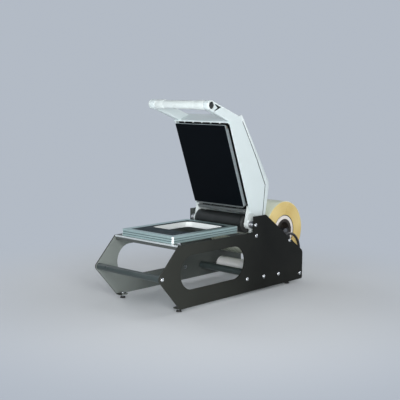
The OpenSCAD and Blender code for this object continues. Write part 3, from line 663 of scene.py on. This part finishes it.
def wound_film():
    material = finish(
        "film", (0.90, 0.72, 0.30), (0.64, 0.44, 0.11), (0.2, 0.34), streaks(160, 3, 3),
        coat=0.3, grain=240, depth=0.05,
    )
    tree = material.node_tree
    distance = reel_distance(tree)
    ends = film_ends(tree, distance)
    barrel = mix_colours(tree, tree.nodes["tone"].outputs["Tone"], BARREL_DARK, BARREL_LIGHT)
    where = spread(tree, distance, BARREL - BARREL_EDGE, BARREL)
    film = mix_colours(tree, where.outputs["Result"], ends.outputs["Result"], barrel.outputs["Result"])
    tree.links.new(film.outputs["Result"], tree.nodes["Principled BSDF"].inputs["Base Color"])


wound_film()
print("finishes:", len(FINISH))

# %% [markdown]
# ## Dressing a CAD piece
# Cut plates, rails, pins and bars already have their right shape in the CAD model, but its edges are
# perfectly sharp, and no real edge is. A copy is merged, its flat faces are joined again, and every
# sharp edge gets a small bevel that catches the light. The copy then stands for the CAD node.

# %% Soften a copy
SOFT_ANGLE, SOFT_STEPS = 38, 2
FLAT_ANGLE, CAD_MERGE = 0.4, 0.002
MERGE = 1e-6


def show(bm, name, body, slot, *nodes, sharp=35):
    bmesh.ops.remove_doubles(bm, verts=bm.verts, dist=MERGE)
    mesh = bpy.data.meshes.new(name)
    bm.to_mesh(mesh)
    bm.free()
    mesh.materials.append(FINISH[slot])
    mesh.shade_smooth()
    mesh.set_sharp_from_angle(angle=math.radians(sharp))
    piece = bpy.data.objects.new(name, mesh)
    scene.collection.objects.link(piece)
    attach(piece, body)
    if nodes:
        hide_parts(*nodes)
    return piece


def sharp_edges(bm, angle):
    limit = math.radians(angle)
    folds = [edge for edge in bm.edges if len(edge.link_faces) == 2]
    return [edge for edge in folds if edge.calc_face_angle() > limit]


def round_off(bm, edges, width, steps):
    bmesh.ops.bevel(
        bm, geom=edges, offset=mm(width), offset_type="OFFSET", segments=steps,
        profile=0.5, affect="EDGES", clamp_overlap=True, material=-1,
    )


def soften(node, body, slot, width):
    bm = bmesh.new()
    bm.from_mesh(frame["nodes"][node].data)
    bmesh.ops.remove_doubles(bm, verts=bm.verts, dist=mm(CAD_MERGE))
    flat = math.radians(FLAT_ANGLE)
    bmesh.ops.dissolve_limit(bm, angle_limit=flat, verts=bm.verts, edges=bm.edges)
    round_off(bm, sharp_edges(bm, SOFT_ANGLE), width, SOFT_STEPS)
    piece = show(bm, node + "_dressed", body, slot, node)
    weighted = piece.modifiers.new("flat faces stay flat", "WEIGHTED_NORMAL")
    weighted.keep_sharp = True
    return piece


print("edges over", SOFT_ANGLE, "degrees will be softened")

# %% [markdown]
# ## Which piece gets which finish
# The tables name each CAD node, its finish and the width of its edges in millimetres. A thick plate
# that was cut and coated has a wider edge than a thin sheet or a turned pin. Pieces of the base and
# the lid are in tables of their own, because they ride on different bodies.

# %% Dress the CAD pieces
BASE_PIECES = [
    ("side_plate_left", "plate_paint", 0.6),
    ("side_plate_right", "plate_paint", 0.6),
    ("front_top_rail", "rail_paint", 0.6),
    ("rear_top_rail", "rail_paint", 0.6),
    ("rail_trim", "bright_trim", 0.5),
    ("nose_tube", "tube_paint", 0.8),
    ("lower_cross_tube", "tube_paint", 0.8),
    ("rear_cross_tube", "tube_paint", 0.8),
    ("tray_frame", "frame_aluminium", 0.4),
    ("tray_mould", "mould_aluminium", 0.8),
    ("mould_gasket", "seal_rubber", 0.5),
    ("hinge_pins", "pin_steel", 0.5),
    ("stop_pins", "pin_steel", 0.6),
    ("film_guide_tube", "guide_paint", 0.6),
    ("guide_tube_caps", "cap_plastic", 0.5),
    ("reel_brackets", "black_steel", 0.5),
    ("foot_studs", "stud_steel", 0.3),
    ("inner_nuts", "stud_steel", 0.4),
    ("roller_axle", "pin_steel", 0.4),
]
LID_PIECES = [
    ("hinge_lugs", "lug_white", 0.8),
    ("hinge_bushes", "bush_bronze", 0.3),
    ("front_ledge", "lug_white", 0.3),
    ("lid_liner", "liner_black", 0.4),
    ("heater_plate", "heater_aluminium", 0.5),
    ("heater_coating", "heater_coat", 0.25),
    ("heating_elements", "element_metal", 0.5),
    ("insulating_board", "board_fibre", 0.4),
    ("thermostat_bulb", "bulb_steel", 0.5),
    ("heater_posts", "pin_steel", 0.3),
    ("knife_bar", "bar_aluminium", 0.5),
    ("film_clamp_bar", "bar_aluminium", 0.6),
    ("clamp_bar_pins", "pin_steel", 0.2),
    ("control_panel", "panel_plastic", 0.9),
    ("knob_spindle", "pin_steel", 0.3),
    ("switch_bezel", "panel_plastic", 0.7),
    ("pilot_lamp", "lamp_orange", 0.2),
    ("mains_inlet", "panel_plastic", 0.9),
]
OTHER_PIECES = [
    ("reel_hubs", "reel", "hub_plastic", 0.9),
    ("reel_shaft", "reel", "shaft_steel", 0.8),
    ("guide_roller", "roller", "roller_white", 1.0),
    ("roller_bushes", "roller", "bush_bronze", 0.3),
    ("thermostat_knob", "knob", "panel_plastic", 0.5),
    ("switch_rocker", "rocker", "rocker_red", 0.4),
]
dressed = {node: soften(node, "base", slot, width) for node, slot, width in BASE_PIECES}
for node, slot, width in LID_PIECES:
    soften(node, "lid", slot, width)
for node, body, slot, width in OTHER_PIECES:
    soften(node, body, slot, width)
print("softened", len(BASE_PIECES) + len(LID_PIECES) + len(OTHER_PIECES), "pieces")

# %% [markdown]
# ## Inner side of the plates
# The plates' inner sides are painted a much lighter grey than the outer sides: a lit copy of the
# plate paint, painted light. A second plate could carry it, but one sheet has both coats, so the
# faces that look to the middle get the second, lighter paint.

# %% Paint the inner sides
FACING = 0.9


def paint_faces(piece, paint, wanted):
    piece.data.materials.append(FINISH[paint])
    faces = [face for face in piece.data.polygons if wanted(face)]
    for face in faces:
        face.material_index = len(piece.data.materials) - 1
    return len(faces)


for plate, inward in (("side_plate_left", 1), ("side_plate_right", -1)):
    painted = paint_faces(
        dressed[plate], "plate_inside_lit", lambda face: face.normal.x * inward > FACING
    )
    print(plate, "has", painted, "inner faces")

# %% [markdown]
# ## Tray frame
# The frame is an aluminium profile with two grooves round it, which are painted dark as shade, and
# with round corners that are painted bright as a highlight. Both follow from where a face lies and
# where it looks, so the faces that already exist get a second and a third finish.

# %% Paint a highlight on the corners and shade in the grooves
GROOVES = [(5.7, 7.9), (12.1, 14.3)]
CORNER_TURN = 0.25
tray = dressed["tray_frame"]
tray_low = min(vert.co.z for vert in tray.data.vertices)
tray_middle = sum((Vector(corner) for corner in tray.bound_box), Vector()) / 8


def looks_out(face):
    return face.normal.xy.dot((face.center - tray_middle).xy) > 0


def in_groove(face):
    height = face.center.z - tray_low
    return looks_out(face) and any(mm(low) < height < mm(high) for low, high in GROOVES)


def on_corner(face):
    return looks_out(face) and min(abs(face.normal.x), abs(face.normal.y)) > CORNER_TURN


# Painted shade in the grooves and a painted highlight on the corners.
print("groove faces:", paint_faces(tray, "frame_groove_shade", in_groove))
print("corner faces:", paint_faces(tray, "frame_corner_highlight", on_corner))

# %% [markdown]
# ## Lid
# The lid is a painted cover with a long slope to the front, a short one to the rear and generous
# round edges. It could be lofted, but a box that is cut by two planes and bevelled says the same in
# a few steps. It is modelled shut, where everything is square, and is swung open at the end.

# %% Shape the lid
HINGE = Vector(joint("lid_hinge")["pos_m"])
LID_HALF, LID_WALL = 112, 3
LID_FRONT, LID_REAR, LID_RIM = -253, 84, 224
BROW, PEAK, HEEL = (-233, 306), (2, 358), (75, 313)
EDGE_R, EDGE_STEPS = 30, 8
CUT_SPARE, RIM_GAP = 20, 0.01


def cut_off(bm, point, other, inset):
    run = Vector((0, other[0] - point[0], other[1] - point[1])).normalized()
    upward = Vector((0, -run.z, run.y))
    start = mm(0, point[0], point[1]) - upward * mm(inset)
    everything = bm.verts[:] + bm.edges[:] + bm.faces[:]
    cut = bmesh.ops.bisect_plane(
        bm, geom=everything, plane_co=start, plane_no=upward, clear_outer=True
    )
    rim = [item for item in cut["geom_cut"] if isinstance(item, bmesh.types.BMEdge)]
    bmesh.ops.contextual_create(bm, geom=rim)


def lid_block(inset, low):
    bm = bmesh.new()
    bmesh.ops.create_cube(bm, size=1)
    start = mm(-LID_HALF + inset, LID_FRONT + inset, low)
    end = mm(LID_HALF - inset, LID_REAR - inset, PEAK[1] + CUT_SPARE)
    bmesh.ops.scale(bm, verts=bm.verts, vec=end - start)
    bmesh.ops.translate(bm, verts=bm.verts, vec=(start + end) / 2)
    cut_off(bm, BROW, PEAK, inset)
    cut_off(bm, PEAK, HEEL, inset)
    rim_z = mm(low + RIM_GAP)
    upper = [edge for edge in bm.edges if min(vert.co.z for vert in edge.verts) > rim_z]
    round_off(bm, upper, EDGE_R - inset, EDGE_STEPS)
    return bm


print("lid", LID_REAR - LID_FRONT, "mm long and", 2 * LID_HALF, "mm wide")

# %% [markdown]
# ## Joining and cutting
# Arms are joined to the lid, and its hollow, bores, grooves and pockets are cut out of it. A Boolean
# modifier does both. It is read back as a plain mesh at once, so no tool stays in the scene, and a
# cut takes the finish of its tool with it.

# %% Join and cut solids
def loose_object(bm, name, slot="lid_white"):
    bmesh.ops.remove_doubles(bm, verts=bm.verts, dist=MERGE)
    bmesh.ops.recalc_face_normals(bm, faces=bm.faces)
    mesh = bpy.data.meshes.new(name)
    bm.to_mesh(mesh)
    bm.free()
    mesh.materials.append(FINISH[slot])
    item = bpy.data.objects.new(name, mesh)
    scene.collection.objects.link(item)
    return item


def combine(item, tool, operation):
    step = item.modifiers.new(operation, "BOOLEAN")
    step.operation = operation
    step.solver = "EXACT"
    step.material_mode = "TRANSFER"
    step.object = tool
    graph = bpy.context.evaluated_depsgraph_get()
    mesh = bpy.data.meshes.new_from_object(item.evaluated_get(graph))
    item.modifiers.clear()
    item.data = mesh
    bpy.data.objects.remove(tool)


lid = loose_object(lid_block(0, LID_RIM), "lid")
print("lid block has", len(lid.data.polygons), "faces")

# %% [markdown]
# ## Handle arms
# Two arms run on from the lid's sides to the grip. An arm starts as an outline with a round eye, is
# extruded to its width, and its edges are rounded as paint and casting leave them. Towards the grip
# it leans out a little, because the grip is wider than the lid.

# %% Shape the arms
GRIP, GRIP_HALF = (-329, 159), 119
EYE_R, EYE_STEPS = 14.5, 16
ARM_W, ARM_EDGE, ARM_STEPS, ARM_FOLD = 22, 4, 4, 60
ARM_SINK, ARM_ROOT = 0.05, 6
ROOT_LOW, ROOT_HIGH = (-253, 225), (-253, 272)


def touch_angle(point, centre, radius, side):
    away = Vector((point[0] - centre[0], point[1] - centre[1]))
    return math.atan2(away.y, away.x) + side * math.acos(radius / away.length)


def outline_slab(outline, x0, x1):
    bm = bmesh.new()
    face = bm.faces.new([bm.verts.new(mm(x0, y, z)) for y, z in outline])
    grown = bmesh.ops.extrude_face_region(bm, geom=[face])
    moved = [item for item in grown["geom"] if isinstance(item, bmesh.types.BMVert)]
    bmesh.ops.translate(bm, verts=moved, vec=mm(x1 - x0, 0, 0))
    bmesh.ops.recalc_face_normals(bm, faces=bm.faces)
    return bm


def arm_outline():
    low = touch_angle(ROOT_LOW, GRIP, EYE_R, -1)
    high = touch_angle(ROOT_HIGH, GRIP, EYE_R, 1) - 2 * math.pi
    turns = [high + (low - high) * step / EYE_STEPS for step in range(EYE_STEPS + 1)]
    eye = [(GRIP[0] + EYE_R * math.cos(turn), GRIP[1] + EYE_R * math.sin(turn)) for turn in turns]
    inside = LID_FRONT + EDGE_R + ARM_ROOT
    return eye + [ROOT_LOW, (inside, ROOT_LOW[1]), (inside, ROOT_HIGH[1]), ROOT_HIGH]


def arm(side):
    bm = outline_slab(arm_outline(), side * (LID_HALF - ARM_W), side * (LID_HALF - ARM_SINK))
    round_off(bm, sharp_edges(bm, ARM_FOLD), ARM_EDGE, ARM_STEPS)
    for vert in bm.verts:
        way = (mm(LID_FRONT) - vert.co.y) / mm(LID_FRONT - GRIP[0] - EYE_R - ARM_EDGE)
        vert.co.x += side * mm(GRIP_HALF - LID_HALF) * min(max(way, 0), 1)
    return loose_object(bm, "arm")


print("an arm's outline has", len(arm_outline()), "corners")

# %% [markdown]
# ## Cuts in the lid
# A shallow groove on each side follows the border between the flat side and the round edge, and it
# is painted dark as shade. The eyes are bored for the grip, the rear clears the guide tube as the lid
# swings, and each arm's outer face has a three-cornered pocket with a deeper bottom painted dark as
# shade. Every tool is a slab or a round bar.

# %% Shape the tools
SIDE_LINE = [(-232, 280), (-100, 305), (-8, 317), (76, 275)]
LINE_HALF, LINE_DEPTH = 1.6, 1.7
TUBE_R, SWING_R, TOOL_LENGTH, TOOL_STEPS = 13, 33, 400, 64
POCKET = [(13, 9.2), (43.5, 9), (19.5, -12)]
POCKET_DEEP = POCKET + [(20, -8), (30, 2.5)]
OVERSHOOT = 4


def side_groove(side):
    upper = [(y, z + LINE_HALF) for y, z in SIDE_LINE]
    lower = [(y, z - LINE_HALF) for y, z in reversed(SIDE_LINE)]
    block = outline_slab(
        upper + lower, side * (LID_HALF - LINE_DEPTH), side * (LID_HALF + OVERSHOOT)
    )
    # The groove's faces take the painted shade.
    return loose_object(block, "groove", "recess_shade_grey")


def round_tool(y, z, radius):
    bm = bmesh.new()
    lying = Matrix.Translation(mm(0, y, z)) @ Matrix.Rotation(math.pi / 2, 4, "Y")
    bmesh.ops.create_cone(
        bm, cap_ends=True, segments=TOOL_STEPS, radius1=mm(radius), radius2=mm(radius),
        depth=mm(TOOL_LENGTH), matrix=lying,
    )
    return loose_object(bm, "round tool")


def pocket(side, corners, depth, slot):
    root_z = (ROOT_LOW[1] + ROOT_HIGH[1]) / 2
    along = Vector((ROOT_LOW[0] - GRIP[0], root_z - GRIP[1])).normalized()
    across = Vector((-along.y, along.x))
    outline = [
        (GRIP[0] + along.x * out + across.x * up, GRIP[1] + along.y * out + across.y * up)
        for out, up in corners
    ]
    block = outline_slab(outline, side * (GRIP_HALF - depth), side * (GRIP_HALF + OVERSHOOT))
    return loose_object(block, "pocket", slot)


print("tools reach", OVERSHOOT, "mm past the skin")

# %% [markdown]
# ## One skin
# The arms and the grooves come first, and then the hollow, the bores and the pockets. The hollow is
# cut after the arms are joined, so no end of an arm is left standing inside the lid.

# %% Join the arms and cut the lid
RIM_SPARE = 5
POCKET_DEPTH, DEEP_DEPTH = 3, 16

for side in (1, -1):
    combine(lid, arm(side), "UNION")
    combine(lid, side_groove(side), "DIFFERENCE")
hollow = loose_object(lid_block(LID_WALL, LID_RIM - RIM_SPARE), "hollow")
combine(lid, hollow, "DIFFERENCE")
combine(lid, round_tool(*GRIP, TUBE_R), "DIFFERENCE")
combine(lid, round_tool(HINGE.y * 1000, HINGE.z * 1000, SWING_R), "DIFFERENCE")
for side in (1, -1):
    combine(lid, pocket(side, POCKET, POCKET_DEPTH, "lid_white"), "DIFFERENCE")
    # The deep pocket's bottom takes the painted shade.
    combine(lid, pocket(side, POCKET_DEEP, DEEP_DEPTH, "recess_shade_grey"), "DIFFERENCE")
print("lid paints:", [paint.name for paint in lid.data.materials])

# %% [markdown]
# ## Open lid
# The photograph shows the lid open, and the hinge's angle is zero there. So the finished lid is swung
# open about the hinge, and its place stays in its mesh.

# %% Swing the lid open
def swing_open(bm):
    bmesh.ops.rotate(bm, verts=bm.verts, cent=HINGE, matrix=Matrix.Rotation(-OPEN, 3, "X"))


bm = bmesh.new()
bm.from_mesh(lid.data)
bpy.data.objects.remove(lid)
swing_open(bm)
cover = show(bm, "lid_cover", "lid", "lid_white", "lid_shell", "handle_arms", sharp=32)
# The lid's second paint is the painted shade of its grooves and pockets.
cover.data.materials.append(FINISH["recess_shade_grey"])
print("lid swung open by", round(math.degrees(OPEN), 1), "degrees")

# %% [markdown]
# ## Grip
# The grip is a round tube with a thicker sleeve at each end, a cap on the left and an open end on the
# right. All of these are turned parts, so half of the section is drawn and spun round the axis. Small
# roundings at the ends are part of the section. The bore gets a thin skin of dark grey metal: painted
# shade inside the tube.

# %% Turn a section
SECTION_STEPS, ROUNDING = 64, 0.3


def turned(bm, section, centre, steps=SECTION_STEPS, closed=True):
    points = [bm.verts.new(mm(x, centre[0], centre[1] + radius)) for x, radius in section]
    pairs = list(zip(points, points[1:]))
    if closed:
        pairs.append((points[-1], points[0]))
    lines = [bm.edges.new(pair) for pair in pairs]
    bmesh.ops.spin(
        bm, geom=points + lines, cent=mm(0, *centre), axis=(1, 0, 0),
        angle=2 * math.pi, steps=steps, use_merge=True,
    )
    bmesh.ops.remove_doubles(bm, verts=bm.verts, dist=MERGE)
    bmesh.ops.recalc_face_normals(bm, faces=bm.faces)


def tube_section(x0, x1, inner, outer, edge):
    low, high = edge * ROUNDING, outer - edge * ROUNDING
    return [
        (x0, inner), (x0, outer - edge), (x0 + low, high), (x0 + edge, outer),
        (x1 - edge, outer), (x1 - low, high), (x1, outer - edge), (x1, inner),
    ]


def grip_piece(name, slot, sections, *nodes, closed=True):
    bm = bmesh.new()
    for section in sections:
        turned(bm, section, GRIP, closed=closed)
    swing_open(bm)
    show(bm, name, "lid", slot, *nodes)


print("sections are turned in", SECTION_STEPS, "steps")

# %% [markdown]
# ## Pieces of the grip
# Tube, sleeves, cap and the skin of the bore are sections on one axis. Each is turned where it lies
# when the lid is shut and then swung open with it, so they stay in line with the arms' eyes.

# %% Turn the grip
GRIP_BORE, GRIP_OUT, GRIP_EDGE = 10.5, 12.95, 0.8
SLEEVE_START, SLEEVE_END, SLEEVE_R, SLEEVE_EDGE = 65, 97, 14.5, 1.2
CAP_R, CAP_ROUND, CAP_STEPS = 14.5, 6, 10
SKIN_HALF, SKIN_IN, SKIN_OUT, SKIN_EDGE = 118, 9.9, 10.45, 0.2

tube = tube_section(-GRIP_HALF, GRIP_HALF, GRIP_BORE, GRIP_OUT, GRIP_EDGE)
sleeves = [
    tube_section(start, end, TUBE_R, SLEEVE_R, SLEEVE_EDGE)
    for start, end in ((SLEEVE_START, SLEEVE_END), (-SLEEVE_END, -SLEEVE_START))
]
cap = [(-GRIP_HALF, 0)]
for step in range(CAP_STEPS + 1):
    turn = math.radians(90 / CAP_STEPS * step)
    radius = CAP_R - CAP_ROUND + CAP_ROUND * math.cos(turn)
    cap.append((-GRIP_HALF - CAP_ROUND * math.sin(turn), radius))
cap.append((-GRIP_HALF - CAP_ROUND, 0))
skin = tube_section(-SKIN_HALF, SKIN_HALF, SKIN_IN, SKIN_OUT, SKIN_EDGE)

grip_piece("grip_tube_turned", "handle_white", [tube], "grip_tube")
grip_piece("grip_sleeves_turned", "handle_white", sleeves, "grip_sleeves")
grip_piece("grip_cap_turned", "handle_white", [cap], "grip_cap", closed=False)
# The bore's dark skin is painted shade.
grip_piece("grip_bore_shade_skin", "bar_aluminium", [skin])
print("grip of", 2 * GRIP_HALF, "mm with", len(sleeves), "sleeves")

# %% [markdown]
# ## Film reel
# The wound film isn't a perfect cylinder: its ends show shallow steps where layers stand out a little.
# The end faces' sections have small rises for them. The cardboard core stands flush in the film, with
# broken edges, and it is turned the same way.

# %% Turn the film and its core
REEL_AXIS = (REEL.y * 1000, REEL.z * 1000)
ROLL_R, CORE_R, CORE_BORE, FILM_HALF = 94.5, 48, 38, 118
FILM_EDGE, CORE_EDGE = 1.2, 0.8
FILM_STEPS, CORE_STEPS = 128, 96
END_DIPS = [
    (48.2, 4.0), (50.2, 4.0), (50.5, 0.4), (52, 0.2), (57, 0.55), (61, 0.1),
    (68, 0.5), (73, 0.05), (80, 0.45), (86, 0.1), (91, 0.3), (93.7, 0.4),
]


def wound_section():
    left = [(-FILM_HALF + dip, radius) for radius, dip in END_DIPS]
    right = [(FILM_HALF - dip, radius) for radius, dip in reversed(END_DIPS)]
    barrel = [(-FILM_HALF + FILM_EDGE, ROLL_R), (FILM_HALF - FILM_EDGE, ROLL_R)]
    return left + barrel + right


bm = bmesh.new()
turned(bm, wound_section(), REEL_AXIS, steps=FILM_STEPS)
show(bm, "film_wound", "reel", "film", "film_roll", sharp=50)
bm = bmesh.new()
core = tube_section(-FILM_HALF, FILM_HALF, CORE_BORE, CORE_R, CORE_EDGE)
turned(bm, core, REEL_AXIS, steps=CORE_STEPS)
show(bm, "core_turned", "reel", "core_card", "reel_core")
print("film ring", ROLL_R - CORE_R, "mm thick")

# %% [markdown]
# ## Bow
# The black bow beside the reel is a bent rod: a circle spun through part of a turn, whose ends sink a
# little into the plate's edge. A curve with a round bevel could make it as well, but a spin gives
# clean rings of faces at once.

# %% Bend the bow
BOW_CENTRE, BOW_R, BOW_ROD, BOW_SIDES = (130, 246, 107), 60, 4, 20
BOW_START, BOW_SWEEP, BOW_STEPS = math.radians(5.3), math.radians(100.7), 40
SIDEWAYS = Matrix(((0, 0, 1, 0), (1, 0, 0, 0), (0, 1, 0, 0), (0, 0, 0, 1)))

bm = bmesh.new()
bmesh.ops.create_circle(bm, cap_ends=True, segments=BOW_SIDES, radius=mm(BOW_ROD))
bmesh.ops.translate(bm, verts=bm.verts, vec=mm(BOW_R, 0, 0))
across_bend = Matrix.Rotation(math.pi / 2, 3, "X")
bmesh.ops.rotate(bm, verts=bm.verts, cent=(0, 0, 0), matrix=across_bend)
bmesh.ops.spin(
    bm, geom=bm.faces[:], cent=(0, 0, 0), axis=(0, 0, 1), angle=BOW_SWEEP, steps=BOW_STEPS
)
on_plate = Matrix.Translation(mm(*BOW_CENTRE)) @ SIDEWAYS @ Matrix.Rotation(BOW_START, 4, "Z")
bmesh.ops.transform(bm, matrix=on_plate, verts=bm.verts)
bmesh.ops.recalc_face_normals(bm, faces=bm.faces)
show(bm, "reel_bow_bent", "base", "black_steel", "reel_bow")
print("bow bent over", round(math.degrees(BOW_SWEEP), 1), "degrees")

# %% [markdown]
# ## Feet
# Four rubber feet with rounded rims carry the machine. Half of a foot's section is spun about an
# upright axis at each place.

# %% Turn the feet
FOOT_X, FOOT_Y, FOOT_STEPS = 116, (-240, 262), 32
FOOT_SECTION = [
    (0, 0), (6.2, 0), (7.4, 0.4), (8, 1.4), (7.8, 2.6), (7.2, 3.8), (6.2, 4.7), (5, 5), (0, 5),
]


def foot(bm, x, y):
    points = [bm.verts.new(mm(x + radius, y, z)) for radius, z in FOOT_SECTION]
    lines = [bm.edges.new(pair) for pair in zip(points, points[1:])]
    bmesh.ops.spin(
        bm, geom=points + lines, cent=mm(x, y, 0), axis=(0, 0, 1),
        angle=2 * math.pi, steps=FOOT_STEPS, use_merge=True,
    )


bm = bmesh.new()
for x in (-FOOT_X, FOOT_X):
    for y in FOOT_Y:
        foot(bm, x, y)
bmesh.ops.remove_doubles(bm, verts=bm.verts, dist=MERGE)
bmesh.ops.recalc_face_normals(bm, faces=bm.faces)
show(bm, "feet_turned", "base", "foot_rubber", "rubber_feet")
print(2 * len(FOOT_Y), "feet turned")

# %% [markdown]
# ## Dome screws
# Domed socket screws hold the tubes, pins and brackets between the plates. A head is turned from half
# its section. Its socket takes a six-sided key, so the rings of vertices in the socket are moved onto
# a hexagon, which is simpler than cutting one.

# %% Turn the dome screws
PLATE_OUT = 132
SCREWS = [
    (-322, 106), (77, 212), (81, 178.7), (121, 47),
    (196, 44), (310, 29), (251, 144.5), (40, 51),
]
HEAD = [
    (0, 6), (0.7, 6), (1.5, 5.6), (2.3, 4.9), (2.9, 4.1),
    (3.3, 3.2), (3.4, 2.6), (2.6, 2.45), (1.5, 2.45), (1.4, 0),
]
HEAD_STEPS, SOCKET_R, KEY_FLAT = 36, 2.55, 0.92


def pour(part, bm):
    mesh = bpy.data.meshes.new("part")
    part.to_mesh(mesh)
    part.free()
    bm.from_mesh(mesh)
    bpy.data.meshes.remove(mesh)


def dome_screw(bm, side, centre):
    head = bmesh.new()
    section = [(side * (PLATE_OUT + x), radius) for x, radius in HEAD]
    turned(head, section, centre, steps=HEAD_STEPS, closed=False)
    middle = Vector((mm(centre[0]), mm(centre[1])))
    for vert in head.verts:
        out = Vector((vert.co.y, vert.co.z)) - middle
        if 0 < out.length < mm(SOCKET_R):
            corner = (math.atan2(out.y, out.x) % (math.pi / 3)) - math.pi / 6
            out *= KEY_FLAT / math.cos(corner)
            vert.co.y, vert.co.z = middle + out
    pour(head, bm)


bm = bmesh.new()
for side in (1, -1):
    for centre in SCREWS:
        dome_screw(bm, side, centre)
show(bm, "dome_screws_turned", "base", "screw_steel", "dome_screws", sharp=28)
print("screws:", 2 * len(SCREWS))

# %% [markdown]
# ## Lid springs
# Two coil springs round the hinge pins lift the lid. A spring is a round wire that climbs as it goes
# round, so a small circle is spun while each step also moves it along the pin.

# %% Wind the springs
WIRE_R, WIRE_SIDES, COIL_R, PITCH, TURNS, TURN_STEPS = 1.1, 12, 10.4, 2.9, 4, 32
SPRING_GAP = 1.7


def spring(bm, side):
    coil = bmesh.new()
    bmesh.ops.create_circle(coil, cap_ends=True, segments=WIRE_SIDES, radius=mm(WIRE_R))
    for axis in ("Y", "Z"):
        quarter = Matrix.Rotation(math.pi / 2, 3, axis)
        bmesh.ops.rotate(coil, verts=coil.verts, cent=(0, 0, 0), matrix=quarter)
    start = Vector((side * mm(LID_HALF + SPRING_GAP), HINGE.y, HINGE.z + mm(COIL_R)))
    bmesh.ops.translate(coil, verts=coil.verts, vec=start)
    climb = mm(PITCH) * side / TURN_STEPS
    bmesh.ops.spin(
        coil, geom=coil.faces[:], cent=HINGE, axis=(1, 0, 0), dvec=(climb, 0, 0),
        angle=2 * math.pi * TURNS, steps=TURN_STEPS * TURNS,
    )
    bmesh.ops.recalc_face_normals(coil, faces=coil.faces)
    pour(coil, bm)


bm = bmesh.new()
for side in (1, -1):
    spring(bm, side)
show(bm, "springs_wound", "base", "spring_steel", "lid_springs")
print("two springs of", TURNS, "turns")

# %% [markdown]
# ## Controls
# The operator sets the heat with a knob on the lid's top. Its dial has plain strokes, the knob has a
# pointer, the rocker a stroke for on, and the mains inlet three flat pins. All are small bars, and
# one helper places them: a cube is scaled, turned and put in its place, and its edges are broken.

# %% Place small bars
SLOPE = math.atan2(PEAK[1] - BROW[1], PEAK[0] - BROW[0])
PANEL_Y = -95.5
PANEL_Z = BROW[1] + (PANEL_Y - BROW[0]) * math.tan(SLOPE)
SWING = Matrix.Translation(HINGE) @ Matrix.Rotation(-OPEN, 4, "X") @ Matrix.Translation(-HINGE)
PANEL = SWING @ Matrix.Translation(mm(0, PANEL_Y, PANEL_Z)) @ Matrix.Rotation(SLOPE, 4, "X")
BAR_EDGE, BAR_STEPS = 0.3, 2


def small_bar(bm, ground, place, size, turn=Matrix.Identity(4)):
    shape = ground @ Matrix.Translation(mm(*place)) @ turn @ Matrix.Diagonal((*mm(*size), 1))
    corners = bmesh.ops.create_cube(bm, size=1, matrix=shape)["verts"]
    edges = [edge for edge in bm.edges if edge.verts[0] in corners]
    round_off(bm, edges, min(size) * BAR_EDGE, BAR_STEPS)


print("panel lies at a slope of", round(math.degrees(SLOPE), 1), "degrees")

# %% [markdown]
# ## Marks and pins
# Strokes stand round the knob, one for each step of the dial. The pointer rides on the knob and the
# rocker's stroke on the rocker, so they move with them, and the pins stand in the inlet's mouth.

# %% Mark the controls
STROKES, STROKE_FIRST, STROKE_GAP = 11, 225, 27
STROKE_SIZE, DIAL_R, DIAL_Z = (2.6, 0.7, 0.3), 19.8, 3.05
KNOB_X, POINTER_Y, POINTER_SIZE, KNOB_TOP = -32, 8, (1.4, 9, 0.4), 17.3
ROCKER_SPOT, ROCKER_SIZE, ROCKER_LEAN = (30, 2.8, 9.8), (5, 0.9, 0.3), math.radians(13)
INLET_PINS, PIN_SINK, PIN_SIZE = [(-8, 274.5), (-14, 267), (-2, 267)], 3.5, (7, 1.8, 3.6)

bm = bmesh.new()
for stroke in range(STROKES):
    angle = math.radians(STROKE_FIRST - STROKE_GAP * stroke)
    spot = (KNOB_X + DIAL_R * math.cos(angle), DIAL_R * math.sin(angle), DIAL_Z)
    small_bar(bm, PANEL, spot, STROKE_SIZE, Matrix.Rotation(angle, 4, "Z"))
show(bm, "dial_strokes", "lid", "lid_white")
bm = bmesh.new()
small_bar(bm, PANEL, (KNOB_X, POINTER_Y, KNOB_TOP), POINTER_SIZE)
show(bm, "knob_pointer", "knob", "lid_white")
bm = bmesh.new()
small_bar(bm, PANEL, ROCKER_SPOT, ROCKER_SIZE, Matrix.Rotation(ROCKER_LEAN, 4, "X"))
show(bm, "rocker_stroke", "rocker", "lid_white")
bm = bmesh.new()
for y, z in INLET_PINS:
    small_bar(bm, SWING, (-LID_HALF - PIN_SINK, y, z), PIN_SIZE)
show(bm, "inlet_pins", "lid", "pin_steel")
print("marks:", STROKES, "strokes, a pointer, a rocker stroke and", len(INLET_PINS), "pins")
